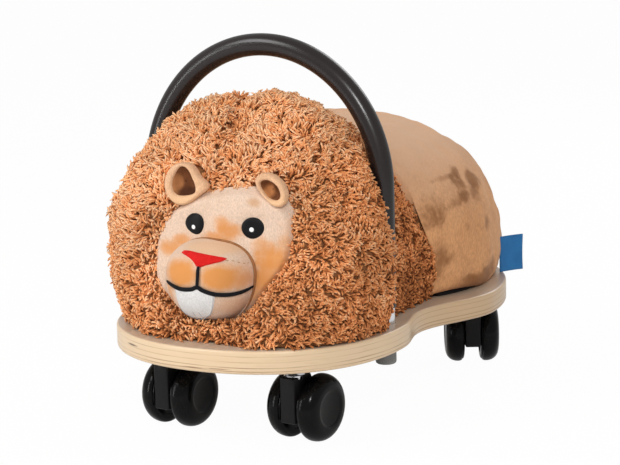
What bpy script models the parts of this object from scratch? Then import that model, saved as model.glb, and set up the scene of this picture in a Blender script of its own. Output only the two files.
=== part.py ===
"""Plush lion ride-on: a stuffed lion on a plywood board, four swivelling twin-wheel casters and a hoop handle.

The lion faces -Y, up is +Z and its left side lies at +X. The origin is on the floor, under the middle of
the board. Lengths are in metres, and a name that ends in share or shares is a ratio of the size it follows.
"""

import math

import bmesh
import bpy
from mathutils import Euler, Matrix, Vector

# Fits
CLEARANCE = 0.0003
OVERRUN = 0.004
MERGE_DISTANCE = 0.00001

# Plywood board
BOARD_LENGTH = 0.370
BOARD_WIDTH = 0.2664
BOARD_THICKNESS = 0.0165
BOARD_EDGE_RADIUS = 0.003
LEG_MARGIN = 0.0204
FRONT_LOBE_REACH = 0.107
FRONT_LOBE_POWER = 2.2
WAIST_INSET = 0.0122
WAIST_RUN = 0.036
REAR_LOBE_REACH = 0.144
REAR_LOBE_POWER = 2.0
LOBE_STEPS = 11
WAIST_STEPS = 5

# Hoop handle
HOOP_SETBACK = 0.110
HOOP_WIDTH = 0.1876
HOOP_LEG_HEIGHT = 0.099
HOOP_RISE = 0.102
TUBE_RADIUS = 0.0072
SLEEVE_WALL = 0.0007
BARE_TUBE_LENGTH = 0.012
HOOP_ARC_STEPS = 26
TUBE_ROUND_SHARE = 4
BOLT_RADIUS = 0.003
BOLT_GRIP = 0.022
BOLT_HEAD_RADIUS = 0.0058
BOLT_HEAD_HEIGHT = 0.005
CAP_RADIUS = 0.00775
CAP_HEIGHT = 0.0137
CAP_WALL = 0.0016
CAP_EDGE = 0.0012

# Twin-wheel casters
WHEEL_RADIUS = 0.025
WHEEL_WIDTH = 0.0152
WHEEL_SIDES = 22
WHEEL_CROWN_SHARE = 0.30
WHEEL_INNER_FACE_SHARE = 0.82
WHEEL_OUTER_FACE_SHARE = 0.50
WHEEL_DISH_DEPTH = 0.0008
WHEEL_DISH_EDGE = 0.0015
SHOULDER_STEPS = 4
INNER_SHOULDER_STEPS = 2
AXLE_RADIUS = 0.003
AXLE_REACH_SHARE = 0.72
CASTER_HEIGHT = 0.060
CASTER_TRAIL = 0.015
PANEL_LEAD = 0.0085
PANEL_BOTTOM = 0.0165
PANEL_WIDTH = 0.0124
HEEL_RADIUS = 0.0105
HEEL_STEPS = 8
HOUSING_BACK = 0.013
HOUSING_EDGE = 0.001
WHEEL_TOP_GAP = 0.0006
NECK_RADIUS = 0.0078
NECK_HEIGHT = 0.003
COLLAR_RADIUS = 0.0068
KINGPIN_RADIUS = 0.004
KINGPIN_LENGTH = 0.030
PLATE_SIZE = 0.034
PLATE_THICKNESS = 0.002
PLATE_CORNER = 0.005
SCREW_SPACING = 0.024
SCREW_RADIUS = 0.0019
SCREW_GRIP = 0.011
SCREW_HEAD_RADIUS = 0.0036
SCREW_HEAD_HEIGHT = 0.0022
SCREW_DOME_SHARE = 0.8
PIN_SIDES = 12
SCREW_SIDES = 8
FRONT_CASTER_INSET = 0.0627
FRONT_CASTER_SETBACK = 0.0418
REAR_CASTER_INSET = 0.0395
REAR_CASTER_SETBACK = 0.083
CASTER_TURNS = {
    "front_left": math.radians(-9.1),
    "front_right": math.radians(-6.9),
    "rear_left": math.radians(25.0),
    "rear_right": math.radians(17.0),
}

# Stuffed head and neck, under one long-pile mane
MANE_SETBACK = 0.007
MANE_LENGTH = 0.1827
HEAD_WIDTH = 0.216
HEAD_HEIGHT = 0.1690
GROOVE_GAP = 0.0012
GROOVE_LIP = 0.007
MANE_COVER = 0.007
HEAD_POWER = 2.25
# Rows run from the front to the back seam: place along the mane, half width, height
MANE_SHARES = (
    (0.000, 0.20, 0.06),
    (0.033, 0.46, 0.15),
    (0.082, 0.66, 0.29),
    (0.126, 0.77, 0.41),
    (0.170, 0.85, 0.52),
    (0.208, 0.90, 0.63),
    (0.252, 0.94, 0.73),
    (0.307, 0.97, 0.825),
    (0.372, 0.99, 0.907),
    (0.443, 1.00, 0.967),
    (0.500, 0.99, 0.993),
    (0.624, 0.925, 0.99),
    (0.700, 0.92, 0.95),
    (0.783, 0.926, 0.89),
    (0.892, 0.94, 0.83),
    (1.000, 0.954, 0.795),
)

# Stuffed body, under a short-pile cover
BODY_REAR_GAP = 0.004
BODY_INSET = 0.0092
BODY_HEIGHT = 0.1332
BODY_COVER = 0.004
BODY_POWER = 2.32
LINER_THICKNESS = 0.004
LINER_INSET = 0.002
# Rows run from the seam to the rear: place along the body, half width, height
BODY_SHARES = (
    (0.000, 0.832, 0.995),
    (0.085, 0.903, 0.998),
    (0.170, 0.960, 1.000),
    (0.256, 0.993, 0.999),
    (0.341, 1.000, 0.997),
    (0.455, 0.979, 0.990),
    (0.568, 0.943, 0.921),
    (0.682, 0.887, 0.822),
    (0.795, 0.777, 0.700),
    (0.881, 0.638, 0.549),
    (0.938, 0.492, 0.391),
    (0.977, 0.331, 0.233),
    (1.000, 0.162, 0.098),
)
WIDEST_SHARE = 0.22
FOOT_SHARE = 0.95
FLANK_STEPS = 2
CROWN_STEPS = 7

# Face
FACE_SETBACK = 0.039
FACE_THICKNESS = 0.006
FACE_WIDTH = 0.112
FACE_HEIGHT = 0.098
FACE_LEVEL = 0.0585
FACE_EDGE = 0.0035
FACE_SIDES = 32
MUZZLE_WIDTH = 0.076
MUZZLE_RISE = 0.029
MUZZLE_DROP = 0.031
MUZZLE_LEVEL = 0.0455
MUZZLE_POWER = 2.3
MUZZLE_SIDES = 24
MUZZLE_STEPS = 6
PAD_THICKNESS = 0.0014
NOSE_WIDTH = 0.0344
NOSE_LEVEL = 0.0640
NOSE_HEIGHT = 0.0076
NOSE_CORNER_SHARE = 0.16
NOSE_BOW_SHARE = 0.12
STITCH_RADIUS = 0.001
SMILE_WIDTH = 0.068
SMILE_LEVEL = 0.0445
SMILE_DIP = 0.0045
SMILE_STEPS = 14
PHILTRUM_STEPS = 3
TONGUE_WIDTH = 0.031
TONGUE_LENGTH = 0.0195
EYE_SPACING = 0.0486
EYE_LEVEL = 0.0785
EYE_WIDTH = 0.0176
EYE_TALL_SHARE = 0.88
EYE_BULGE = 0.0024
EAR_SPACING = 0.070
EAR_LEVEL = 0.1065
EAR_SETBACK = 0.0465
EAR_RADIUS = 0.0142
EAR_TALL_SHARE = 1.07
EAR_DEPTH = 0.009
EAR_FLARE = math.radians(14)
EAR_LEAN = math.radians(6)
ROUND_SIDES = 20

# Woven side label, plain
LABEL_HEIGHT = 0.029
LABEL_REACH = 0.019
LABEL_THICKNESS = 0.0012
LABEL_LEVEL = 0.0143
LABEL_SETBACK = 0.073
LABEL_TURN = math.radians(53)

# Places that follow from the sizes above
FRONT_EDGE_Y = -BOARD_LENGTH / 2
REAR_EDGE_Y = BOARD_LENGTH / 2
FRONT_LOBE_WIDTH = HOOP_WIDTH + 2 * LEG_MARGIN
WAIST_WIDTH = FRONT_LOBE_WIDTH - 2 * WAIST_INSET
FRONT_TRACK = FRONT_LOBE_WIDTH - 2 * FRONT_CASTER_INSET
REAR_TRACK = BOARD_WIDTH - 2 * REAR_CASTER_INSET
BODY_WIDTH = BOARD_WIDTH - 2 * BODY_INSET
BOARD_TOP = CASTER_HEIGHT + BOARD_THICKNESS
REST_LEVEL = BOARD_TOP + CLEARANCE
HOOP_Y = FRONT_EDGE_Y + HOOP_SETBACK
HOOP_SPRING = BOARD_TOP + HOOP_LEG_HEIGHT
SLEEVE_RADIUS = TUBE_RADIUS + CLEARANCE + SLEEVE_WALL
AXLE_LEVEL = WHEEL_RADIUS * math.cos(math.pi / WHEEL_SIDES)
HOUSING_TOP = AXLE_LEVEL + WHEEL_RADIUS + WHEEL_TOP_GAP
PLATE_TOP = CASTER_HEIGHT - CLEARANCE
PLATE_UNDERSIDE = PLATE_TOP - PLATE_THICKNESS
MANE_FRONT_Y = FRONT_EDGE_Y + MANE_SETBACK
SEAM_Y = MANE_FRONT_Y + MANE_LENGTH
BODY_FRONT_Y = SEAM_Y + CLEARANCE
BODY_REAR_Y = REAR_EDGE_Y - BODY_REAR_GAP
FACE_FRONT_Y = FRONT_EDGE_Y + FACE_SETBACK
FACE_BACK_Y = FACE_FRONT_Y + FACE_THICKNESS
MUZZLE_BACK_Y = FACE_FRONT_Y - CLEARANCE
MUZZLE_DEPTH = MUZZLE_BACK_Y - FRONT_EDGE_Y - PAD_THICKNESS - 2 * CLEARANCE
MUZZLE_Z = BOARD_TOP + MUZZLE_LEVEL
CASTER_PLACES = {
    "front_left": (FRONT_TRACK / 2, FRONT_EDGE_Y + FRONT_CASTER_SETBACK),
    "front_right": (-FRONT_TRACK / 2, FRONT_EDGE_Y + FRONT_CASTER_SETBACK),
    "rear_left": (REAR_TRACK / 2, REAR_EDGE_Y - REAR_CASTER_SETBACK),
    "rear_right": (-REAR_TRACK / 2, REAR_EDGE_Y - REAR_CASTER_SETBACK),
}
SIDES = {"left": 1, "right": -1}

# Colour, roughness and metallic value of each finish
FINISHES = {
    "plywood": ((0.80, 0.62, 0.42), 0.55, 0.0),
    "steel": ((0.62, 0.62, 0.64), 0.32, 1.0),
    "black_sleeve": ((0.035, 0.03, 0.03), 0.45, 0.0),
    "grey_plastic": ((0.42, 0.42, 0.43), 0.5, 0.0),
    "black_plastic": ((0.012, 0.012, 0.013), 0.25, 0.0),
    "black_steel": ((0.03, 0.03, 0.032), 0.4, 0.6),
    "foam": ((0.85, 0.83, 0.76), 0.9, 0.0),
    "mane_pile": ((0.56, 0.30, 0.14), 0.95, 0.0),
    "tan_pile": ((0.60, 0.38, 0.21), 0.9, 0.0),
    "cream_pile": ((0.84, 0.64, 0.43), 0.9, 0.0),
    "black_felt": ((0.01, 0.01, 0.01), 0.9, 0.0),
    "red_felt": ((0.72, 0.03, 0.03), 0.8, 0.0),
    "white_felt": ((0.85, 0.85, 0.84), 0.8, 0.0),
    "black_thread": ((0.01, 0.01, 0.012), 0.5, 0.0),
    "blue_weave": ((0.03, 0.14, 0.36), 0.7, 0.0),
}


def clear_scene():
    for obj in list(bpy.data.objects):
        bpy.data.objects.remove(obj, do_unlink=True)


def new_collection(name):
    collection = bpy.data.collections.new(name)
    bpy.context.scene.collection.children.link(collection)
    return collection


def finish_material(name):
    if name in bpy.data.materials:
        return bpy.data.materials[name]
    colour, roughness, metallic = FINISHES[name]
    material = bpy.data.materials.new(name)
    material.use_nodes = True
    shader = material.node_tree.nodes["Principled BSDF"]
    shader.inputs["Base Color"].default_value = (*colour, 1.0)
    shader.inputs["Roughness"].default_value = roughness
    shader.inputs["Metallic"].default_value = metallic
    return material


def add_part(name, mesh, finish, parent=None):
    """Links a mesh as one piece of the ride-on, in its own copy of a finish."""
    obj = bpy.data.objects.new(name, mesh)
    PARTS.objects.link(obj)
    obj.parent = parent
    material = finish_material(finish).copy()
    material.name = f"{name} {finish}"
    obj.data.materials.append(material)
    return obj


def add_cutter(name, mesh, parent=None):
    """Links a mesh as a tool for Boolean modifiers, left out of renders."""
    obj = bpy.data.objects.new(name, mesh)
    CUTTERS.objects.link(obj)
    obj.parent = parent
    obj.hide_render = True
    obj.display_type = "WIRE"
    return obj


def mesh_of(bm, name):
    bmesh.ops.recalc_face_normals(bm, faces=bm.faces)
    mesh = bpy.data.meshes.new(name)
    bm.to_mesh(mesh)
    bm.free()
    return mesh


def boolean(part, tool, operation="DIFFERENCE"):
    modifier = part.modifiers.new(f"{operation.lower()} {tool.name}", "BOOLEAN")
    modifier.operation = operation
    modifier.object = tool


def round_edges(part, width, segments):
    modifier = part.modifiers.new("rounded edges", "BEVEL")
    modifier.width = width
    modifier.segments = segments
    modifier.limit_method = "ANGLE"
    modifier.angle_limit = math.radians(40)


def smooth(part, sharp=math.radians(40)):
    part.data.shade_smooth()
    part.data.set_sharp_from_angle(angle=sharp)


def empty_at(name, location, turn=0.0):
    holder = bpy.data.objects.new(name, None)
    PARTS.objects.link(holder)
    holder.location = location
    holder.rotation_euler = (0.0, 0.0, turn)
    return holder


def turned_mesh(name, profile):
    """A chain of (radius, height) points in the XZ plane, listed from the top down its outer side."""
    mesh = bpy.data.meshes.new(name)
    points = [(radius, 0.0, height) for radius, height in profile]
    links = [(index, index + 1) for index in range(len(points) - 1)]
    mesh.from_pydata(points, links, [])
    return mesh


def turn(obj, steps):
    """Revolves the object's chain about its own Z axis."""
    screw = obj.modifiers.new("turned", "SCREW")
    screw.axis = "Z"
    screw.angle = 2 * math.pi
    screw.steps = steps
    screw.render_steps = steps
    screw.use_smooth_shade = True
    screw.use_merge_vertices = True
    screw.merge_threshold = MERGE_DISTANCE


def prism(bm, points, low, high):
    """Adds a flat outline at one height and extrudes it to another."""
    base = bm.faces.new([bm.verts.new((x, y, low)) for x, y in points])
    grown = bmesh.ops.extrude_face_region(bm, geom=[base])
    lifted = [item for item in grown["geom"] if isinstance(item, bmesh.types.BMVert)]
    bmesh.ops.translate(bm, verts=lifted, vec=(0.0, 0.0, high - low))


def pillar(bm, x, y, radius, low, high, sides):
    place = Matrix.Translation((x, y, (low + high) / 2))
    bmesh.ops.create_cone(
        bm, cap_ends=True, segments=sides, radius1=radius, radius2=radius, depth=high - low, matrix=place
    )


def super_quarter(power, steps):
    """Points of a quarter of a superellipse of unit size, from (1, 0) to (0, 1)."""
    points = []
    for step in range(steps + 1):
        angle = math.pi / 2 * step / steps
        points.append((math.cos(angle) ** (2 / power), math.sin(angle) ** (2 / power)))
    points[-1] = (0.0, 1.0)
    return points


def read_shares(table, place, column):
    """Reads a column of a table of shares between its rows, along a smooth curve."""
    place = min(max(place, table[0][0]), table[-1][0])
    row = 0
    while row < len(table) - 2 and place > table[row + 1][0]:
        row += 1
    before = max(row - 1, 0)
    after = min(row + 2, len(table) - 1)
    start, end = table[row], table[row + 1]
    run = end[0] - start[0]
    start_slope = (end[column] - table[before][column]) / (end[0] - table[before][0])
    end_slope = (table[after][column] - start[column]) / (table[after][0] - start[0])
    t = (place - start[0]) / run
    return (
        (2 * t**3 - 3 * t**2 + 1) * start[column]
        + (t**3 - 2 * t**2 + t) * run * start_slope
        + (3 * t**2 - 2 * t**3) * end[column]
        + (t**3 - t**2) * run * end_slope
    )


def board_outline():
    """Half of the fiddle outline from the front tip to the rear tip, then mirrored."""
    front = FRONT_LOBE_WIDTH / 2
    waist = WAIST_WIDTH / 2
    rear = BOARD_WIDTH / 2
    front_y = FRONT_EDGE_Y + FRONT_LOBE_REACH
    waist_y = front_y + WAIST_RUN
    rear_y = REAR_EDGE_Y - REAR_LOBE_REACH
    half = []
    for width, reach in reversed(super_quarter(FRONT_LOBE_POWER, LOBE_STEPS)):
        half.append((front * width, front_y - FRONT_LOBE_REACH * reach))
    for step in range(1, WAIST_STEPS):
        swing = 0.5 - 0.5 * math.cos(math.pi * step / WAIST_STEPS)
        half.append((front + (waist - front) * swing, front_y + WAIST_RUN * step / WAIST_STEPS))
    for step in range(2 * WAIST_STEPS):
        swing = 0.5 - 0.5 * math.cos(math.pi * step / (2 * WAIST_STEPS))
        half.append((waist + (rear - waist) * swing, waist_y + (rear_y - waist_y) * step / (2 * WAIST_STEPS)))
    for width, reach in super_quarter(REAR_LOBE_POWER, LOBE_STEPS):
        half.append((rear * width, rear_y + REAR_LOBE_REACH * reach))
    return half + [(-x, y) for x, y in reversed(half[1:-1])]


def screw_places(corner):
    x, y = CASTER_PLACES[corner]
    offset = SCREW_SPACING / 2
    return [(x + across * offset, y + along * offset) for across in (-1, 1) for along in (-1, 1)]


def make_board():
    bm = bmesh.new()
    prism(bm, board_outline(), CASTER_HEIGHT, BOARD_TOP)
    board = add_part("base_board", mesh_of(bm, "base_board"), "plywood")
    round_edges(board, BOARD_EDGE_RADIUS, 3)
    holes = bmesh.new()
    for side in SIDES.values():
        x = side * HOOP_WIDTH / 2
        radius = TUBE_RADIUS + CLEARANCE
        pillar(holes, x, HOOP_Y, radius, CASTER_HEIGHT - OVERRUN, BOARD_TOP + OVERRUN, ROUND_SIDES)
    for corner in CASTER_PLACES:
        for x, y in screw_places(corner):
            top = CASTER_HEIGHT + SCREW_GRIP + CLEARANCE
            pillar(holes, x, y, SCREW_RADIUS + CLEARANCE, CASTER_HEIGHT - OVERRUN, top, SCREW_SIDES)
    boolean(board, add_cutter("board_holes", mesh_of(holes, "board_holes")))
    smooth(board)


def hoop_path(foot):
    """Centre line of the hoop from one foot, over the arc, to the other foot."""
    half = HOOP_WIDTH / 2
    points = [(half, HOOP_Y, foot)]
    for step in range(HOOP_ARC_STEPS + 1):
        angle = math.pi * step / HOOP_ARC_STEPS
        points.append((half * math.cos(angle), HOOP_Y, HOOP_SPRING + HOOP_RISE * math.sin(angle)))
    points.append((-half, HOOP_Y, foot))
    return points


def tube_mesh(name, points, radius, resolution, capped):
    """Sweeps a round section along points with a curve, and returns the welded mesh."""
    curve = bpy.data.curves.new(f"{name} path", "CURVE")
    curve.dimensions = "3D"
    curve.bevel_depth = radius
    curve.bevel_resolution = resolution
    curve.use_fill_caps = capped
    spline = curve.splines.new("POLY")
    spline.points.add(len(points) - 1)
    for target, point in zip(spline.points, points):
        target.co = (*point, 1.0)
    guide = bpy.data.objects.new(f"{name} path", curve)
    CUTTERS.objects.link(guide)
    graph = bpy.context.evaluated_depsgraph_get()
    mesh = bpy.data.meshes.new_from_object(guide.evaluated_get(graph))
    bpy.data.objects.remove(guide, do_unlink=True)
    bm = bmesh.new()
    bm.from_mesh(mesh)
    bpy.data.meshes.remove(mesh)
    bmesh.ops.remove_doubles(bm, verts=bm.verts, dist=MERGE_DISTANCE)
    return mesh_of(bm, name)


def make_handle():
    tube = add_part(
        "handle_tube", tube_mesh("handle_tube", hoop_path(CASTER_HEIGHT), TUBE_RADIUS, TUBE_ROUND_SHARE, True), "steel"
    )
    bores = bmesh.new()
    for side in SIDES.values():
        top = CASTER_HEIGHT + BOLT_GRIP + CLEARANCE
        x = side * HOOP_WIDTH / 2
        pillar(bores, x, HOOP_Y, BOLT_RADIUS + CLEARANCE, CASTER_HEIGHT - OVERRUN, top, PIN_SIDES)
    boolean(tube, add_cutter("bolt_bores", mesh_of(bores, "bolt_bores")))
    smooth(tube)
    sleeve_foot = BOARD_TOP + BARE_TUBE_LENGTH
    skin = tube_mesh("handle_grip", hoop_path(sleeve_foot), SLEEVE_RADIUS, TUBE_ROUND_SHARE, False)
    grip = add_part("handle_grip", skin, "black_sleeve")
    wall = grip.modifiers.new("sleeve wall", "SOLIDIFY")
    wall.thickness = SLEEVE_WALL
    wall.offset = -1.0
    smooth(grip)
    for label, side in SIDES.items():
        make_leg_fixing(label, side * HOOP_WIDTH / 2)


def make_leg_fixing(label, x):
    """Bolt up into the end of one leg, under a grey cap."""
    seat = CASTER_HEIGHT - CLEARANCE
    shank_top = CASTER_HEIGHT + BOLT_GRIP
    bolt_profile = [
        (0.0, shank_top),
        (BOLT_RADIUS, shank_top),
        (BOLT_RADIUS, seat),
        (BOLT_HEAD_RADIUS, seat),
        (BOLT_HEAD_RADIUS, seat - BOLT_HEAD_HEIGHT),
        (0.0, seat - BOLT_HEAD_HEIGHT),
    ]
    bolt = add_part(f"handle_bolt_{label}", turned_mesh("bolt", bolt_profile), "steel")
    bolt.location = (x, HOOP_Y, 0.0)
    turn(bolt, PIN_SIDES)
    inner = CAP_RADIUS - CAP_WALL
    floor = seat - CAP_HEIGHT
    cap_profile = [
        (0.0, floor + CAP_WALL),
        (inner, floor + CAP_WALL),
        (inner, seat),
        (CAP_RADIUS, seat),
        (CAP_RADIUS, floor + CAP_EDGE),
        (CAP_RADIUS - CAP_EDGE, floor),
        (0.0, floor),
    ]
    cap = add_part(f"handle_cap_{label}", turned_mesh("cap", cap_profile), "grey_plastic")
    cap.location = (x, HOOP_Y, 0.0)
    turn(cap, ROUND_SIDES)


def wheel_profile():
    """Half section of one wheel: height zero is the inner face, the crown lies near it."""
    crown = WHEEL_WIDTH * WHEEL_CROWN_SHARE
    inner_face = WHEEL_RADIUS * WHEEL_INNER_FACE_SHARE
    outer_face = WHEEL_RADIUS * WHEEL_OUTER_FACE_SHARE
    bore = AXLE_RADIUS + CLEARANCE
    bore_end = WHEEL_WIDTH * AXLE_REACH_SHARE + CLEARANCE
    dish = WHEEL_WIDTH - WHEEL_DISH_DEPTH
    profile = [(0.0, dish), (outer_face - WHEEL_DISH_EDGE, dish)]
    for width, rise in reversed(super_quarter(2.2, SHOULDER_STEPS)):
        radius = outer_face + (WHEEL_RADIUS - outer_face) * width
        profile.append((radius, crown + (WHEEL_WIDTH - crown) * rise))
    for width, rise in super_quarter(2.0, INNER_SHOULDER_STEPS)[1:]:
        profile.append((inner_face + (WHEEL_RADIUS - inner_face) * width, crown - crown * rise))
    profile += [(bore, 0.0), (bore, bore_end), (0.0, bore_end)]
    return profile


def housing_outline():
    """Side view of the moulded housing: flat leading panel, round heel under the axle, sloped back."""
    front = -PANEL_LEAD
    points = [(front, HOUSING_TOP), (front, PANEL_BOTTOM)]
    for step in range(HEEL_STEPS + 1):
        angle = math.radians(-105) + math.radians(150) * step / HEEL_STEPS
        y = CASTER_TRAIL + HEEL_RADIUS * math.cos(angle)
        points.append((y, AXLE_LEVEL + HEEL_RADIUS * math.sin(angle)))
    points.append((HOUSING_BACK, HOUSING_TOP))
    return points


def make_plate(corner, holder):
    """Square mounting plate with its chrome collar and kingpin."""
    bm = bmesh.new()
    half = PLATE_SIZE / 2
    prism(bm, [(-half, -half), (half, -half), (half, half), (-half, half)], PLATE_UNDERSIDE, PLATE_TOP)
    uprights = [edge for edge in bm.edges if edge.verts[0].co.z != edge.verts[1].co.z]
    bmesh.ops.bevel(bm, geom=uprights, offset=PLATE_CORNER, segments=3, affect="EDGES", profile=0.5)
    plate = add_part(f"caster_{corner}_plate", mesh_of(bm, "plate"), "black_steel", holder)
    middle = (PLATE_UNDERSIDE + PLATE_TOP) / 2
    collar_foot = HOUSING_TOP + NECK_HEIGHT + CLEARANCE
    pin_profile = [
        (0.0, middle),
        (COLLAR_RADIUS, middle),
        (COLLAR_RADIUS, collar_foot),
        (KINGPIN_RADIUS, collar_foot),
        (KINGPIN_RADIUS, collar_foot - KINGPIN_LENGTH),
        (0.0, collar_foot - KINGPIN_LENGTH),
    ]
    pin = add_cutter(f"{corner}_kingpin", turned_mesh("kingpin", pin_profile), holder)
    turn(pin, PIN_SIDES)
    boolean(plate, pin, "UNION")
    holes = bmesh.new()
    offset = SCREW_SPACING / 2
    for x in (-offset, offset):
        for y in (-offset, offset):
            radius = SCREW_RADIUS + CLEARANCE
            pillar(holes, x, y, radius, PLATE_UNDERSIDE - OVERRUN, PLATE_TOP + OVERRUN, SCREW_SIDES)
    boolean(plate, add_cutter(f"{corner}_plate_holes", mesh_of(holes, "plate_holes"), holder))


def make_screws(corner):
    head_top = PLATE_UNDERSIDE - CLEARANCE
    tip = CASTER_HEIGHT + SCREW_GRIP
    profile = [
        (0.0, tip),
        (SCREW_RADIUS, tip - SCREW_RADIUS),
        (SCREW_RADIUS, head_top),
        (SCREW_HEAD_RADIUS, head_top),
        (SCREW_HEAD_RADIUS * SCREW_DOME_SHARE, head_top - SCREW_HEAD_HEIGHT * SCREW_DOME_SHARE),
        (0.0, head_top - SCREW_HEAD_HEIGHT),
    ]
    for number, (x, y) in enumerate(screw_places(corner), 1):
        screw = add_part(f"caster_{corner}_screw_{number}", turned_mesh("screw", profile), "steel")
        screw.location = (x, y, 0.0)
        turn(screw, SCREW_SIDES)


def make_housing(corner, swivel):
    """Moulded body between the wheels, bored for the kingpin from above and the axle from the side."""
    bm = bmesh.new()
    half = PANEL_WIDTH / 2
    prism(bm, housing_outline(), -half, half)
    # The outline was laid flat: stand it up, so that its first axis runs along Y and its second along Z
    bmesh.ops.transform(bm, matrix=Matrix(((0, 0, 1, 0), (1, 0, 0, 0), (0, 1, 0, 0), (0, 0, 0, 1))), verts=bm.verts)
    housing = add_part(f"caster_{corner}_housing", mesh_of(bm, "housing"), "black_plastic", swivel)
    round_edges(housing, HOUSING_EDGE, 2)
    neck = bmesh.new()
    pillar(neck, 0.0, 0.0, NECK_RADIUS, HOUSING_TOP - CLEARANCE, HOUSING_TOP + NECK_HEIGHT, ROUND_SIDES)
    boolean(housing, add_cutter(f"{corner}_neck", mesh_of(neck, "neck"), swivel), "UNION")
    bores = bmesh.new()
    bore_floor = HOUSING_TOP + NECK_HEIGHT - KINGPIN_LENGTH
    top = HOUSING_TOP + NECK_HEIGHT + OVERRUN
    pillar(bores, 0.0, 0.0, KINGPIN_RADIUS + CLEARANCE, bore_floor - CLEARANCE, top, PIN_SIDES)
    axle_hole = Matrix.Translation((0.0, CASTER_TRAIL, AXLE_LEVEL)) @ Matrix.Rotation(math.pi / 2, 4, "Y")
    bmesh.ops.create_cone(
        bores,
        cap_ends=True,
        segments=PIN_SIDES,
        radius1=AXLE_RADIUS + CLEARANCE,
        radius2=AXLE_RADIUS + CLEARANCE,
        depth=PANEL_WIDTH + OVERRUN,
        matrix=axle_hole,
    )
    boolean(housing, add_cutter(f"{corner}_bores", mesh_of(bores, "bores"), swivel))
    smooth(housing)


def make_axle(corner, swivel):
    bm = bmesh.new()
    inner_face = PANEL_WIDTH / 2 + CLEARANCE
    length = 2 * (inner_face + WHEEL_WIDTH * AXLE_REACH_SHARE)
    lie = Matrix.Rotation(math.pi / 2, 4, "Y")
    bmesh.ops.create_cone(
        bm, cap_ends=True, segments=PIN_SIDES, radius1=AXLE_RADIUS, radius2=AXLE_RADIUS, depth=length, matrix=lie
    )
    axle = add_part(f"caster_{corner}_axle", mesh_of(bm, "axle"), "steel", swivel)
    axle.location = (0.0, CASTER_TRAIL, AXLE_LEVEL)


def make_wheels(corner, swivel):
    """Two wheels, each free on the axle, standing on one flat of their faceted rims."""
    inner_face = PANEL_WIDTH / 2 + CLEARANCE
    half_flat = math.pi / WHEEL_SIDES
    for label, side in SIDES.items():
        wheel = add_part(f"caster_{corner}_wheel_{label}", turned_mesh("wheel", wheel_profile()), "black_plastic", swivel)
        wheel.location = (side * inner_face, CASTER_TRAIL, AXLE_LEVEL)
        lie = Matrix.Rotation(side * math.pi / 2, 3, "Y")
        spin = Matrix.Rotation(half_flat, 3, "Z")
        wheel.rotation_euler = (lie @ spin).to_euler()
        turn(wheel, WHEEL_SIDES)


def make_casters():
    for corner, (x, y) in CASTER_PLACES.items():
        fixed = empty_at(f"{corner} mounting", (x, y, 0.0))
        swivel = empty_at(f"{corner} swivel", (x, y, 0.0), CASTER_TURNS[corner])
        make_plate(corner, fixed)
        make_screws(corner)
        make_housing(corner, swivel)
        make_axle(corner, swivel)
        make_wheels(corner, swivel)


def hoop_inside(z):
    """Half the free width inside the sleeve of the hoop at one height."""
    rise = min(max(z - HOOP_SPRING, 0.0) / HOOP_RISE, 1.0)
    return HOOP_WIDTH / 2 * math.sqrt(1.0 - rise**2) - SLEEVE_RADIUS


def section(half_width, height, power, foot):
    """Right half of a stuffed cross-section as (x, z), from its foot up the flank to the crown."""
    widest = REST_LEVEL + height * WIDEST_SHARE
    points = []
    for step in range(FLANK_STEPS):
        climb = step / FLANK_STEPS
        width = half_width * (1.0 - (1.0 - FOOT_SHARE) * (1.0 - climb) ** 2)
        points.append((width, foot + (widest - foot) * climb))
    crown = REST_LEVEL + height
    for across, up in super_quarter(power, CROWN_STEPS):
        points.append((half_width * across, widest + (crown - widest) * up))
    return points


def whole_ring(half, y):
    right = [(x, y, z) for x, z in half]
    return right + [(-x, y, z) for x, y, z in reversed(right[:-1])]


def loft(name, rings):
    """Skins a row of closed rings and caps both ends."""
    bm = bmesh.new()
    rows = [[bm.verts.new(point) for point in ring] for ring in rings]
    count = len(rows[0])
    for row, following in zip(rows, rows[1:]):
        for index in range(count):
            ahead = (index + 1) % count
            near, far = row[index], following[ahead]
            if index > count / 2:
                near, far = row[ahead], following[index]
            # The same diagonal in a cover and in its core keeps the gap between them even
            for third in (row[index], row[ahead], following[ahead], following[index]):
                if third is near or third is far:
                    continue
                bm.faces.new((near, third, far))
    bm.faces.new(rows[0])
    bm.faces.new(rows[-1])
    return mesh_of(bm, name)


def mane_size(y):
    place = (y - MANE_FRONT_Y) / MANE_LENGTH
    return HEAD_WIDTH / 2 * read_shares(MANE_SHARES, place, 1), HEAD_HEIGHT * read_shares(MANE_SHARES, place, 2)


def groove_depth(y):
    """One inside the groove that the hoop presses into each flank, falling to zero past its lip."""
    past = abs(y - HOOP_Y) - SLEEVE_RADIUS - GROOVE_GAP
    reach = min(max(past / GROOVE_LIP, 0.0), 1.0)
    return 1.0 - reach * reach * (3.0 - 2.0 * reach)


def mane_rings():
    stations = {MANE_FRONT_Y + MANE_LENGTH * row[0] for row in MANE_SHARES}
    groove = SLEEVE_RADIUS + GROOVE_GAP
    stations = {y for y in stations if abs(y - HOOP_Y) > groove + GROOVE_LIP}
    for offset in (groove, groove + GROOVE_LIP / 2, groove + GROOVE_LIP):
        stations |= {HOOP_Y - offset, HOOP_Y + offset}
    rings = []
    for y in sorted(stations):
        half_width, height = mane_size(y)
        depth = groove_depth(y)
        half = []
        for x, z in section(half_width, height, HEAD_POWER, REST_LEVEL):
            over = max(x - (hoop_inside(z) - GROOVE_GAP), 0.0)
            half.append((x - depth * over, z))
        rings.append(whole_ring(half, y))
    return rings


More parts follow.
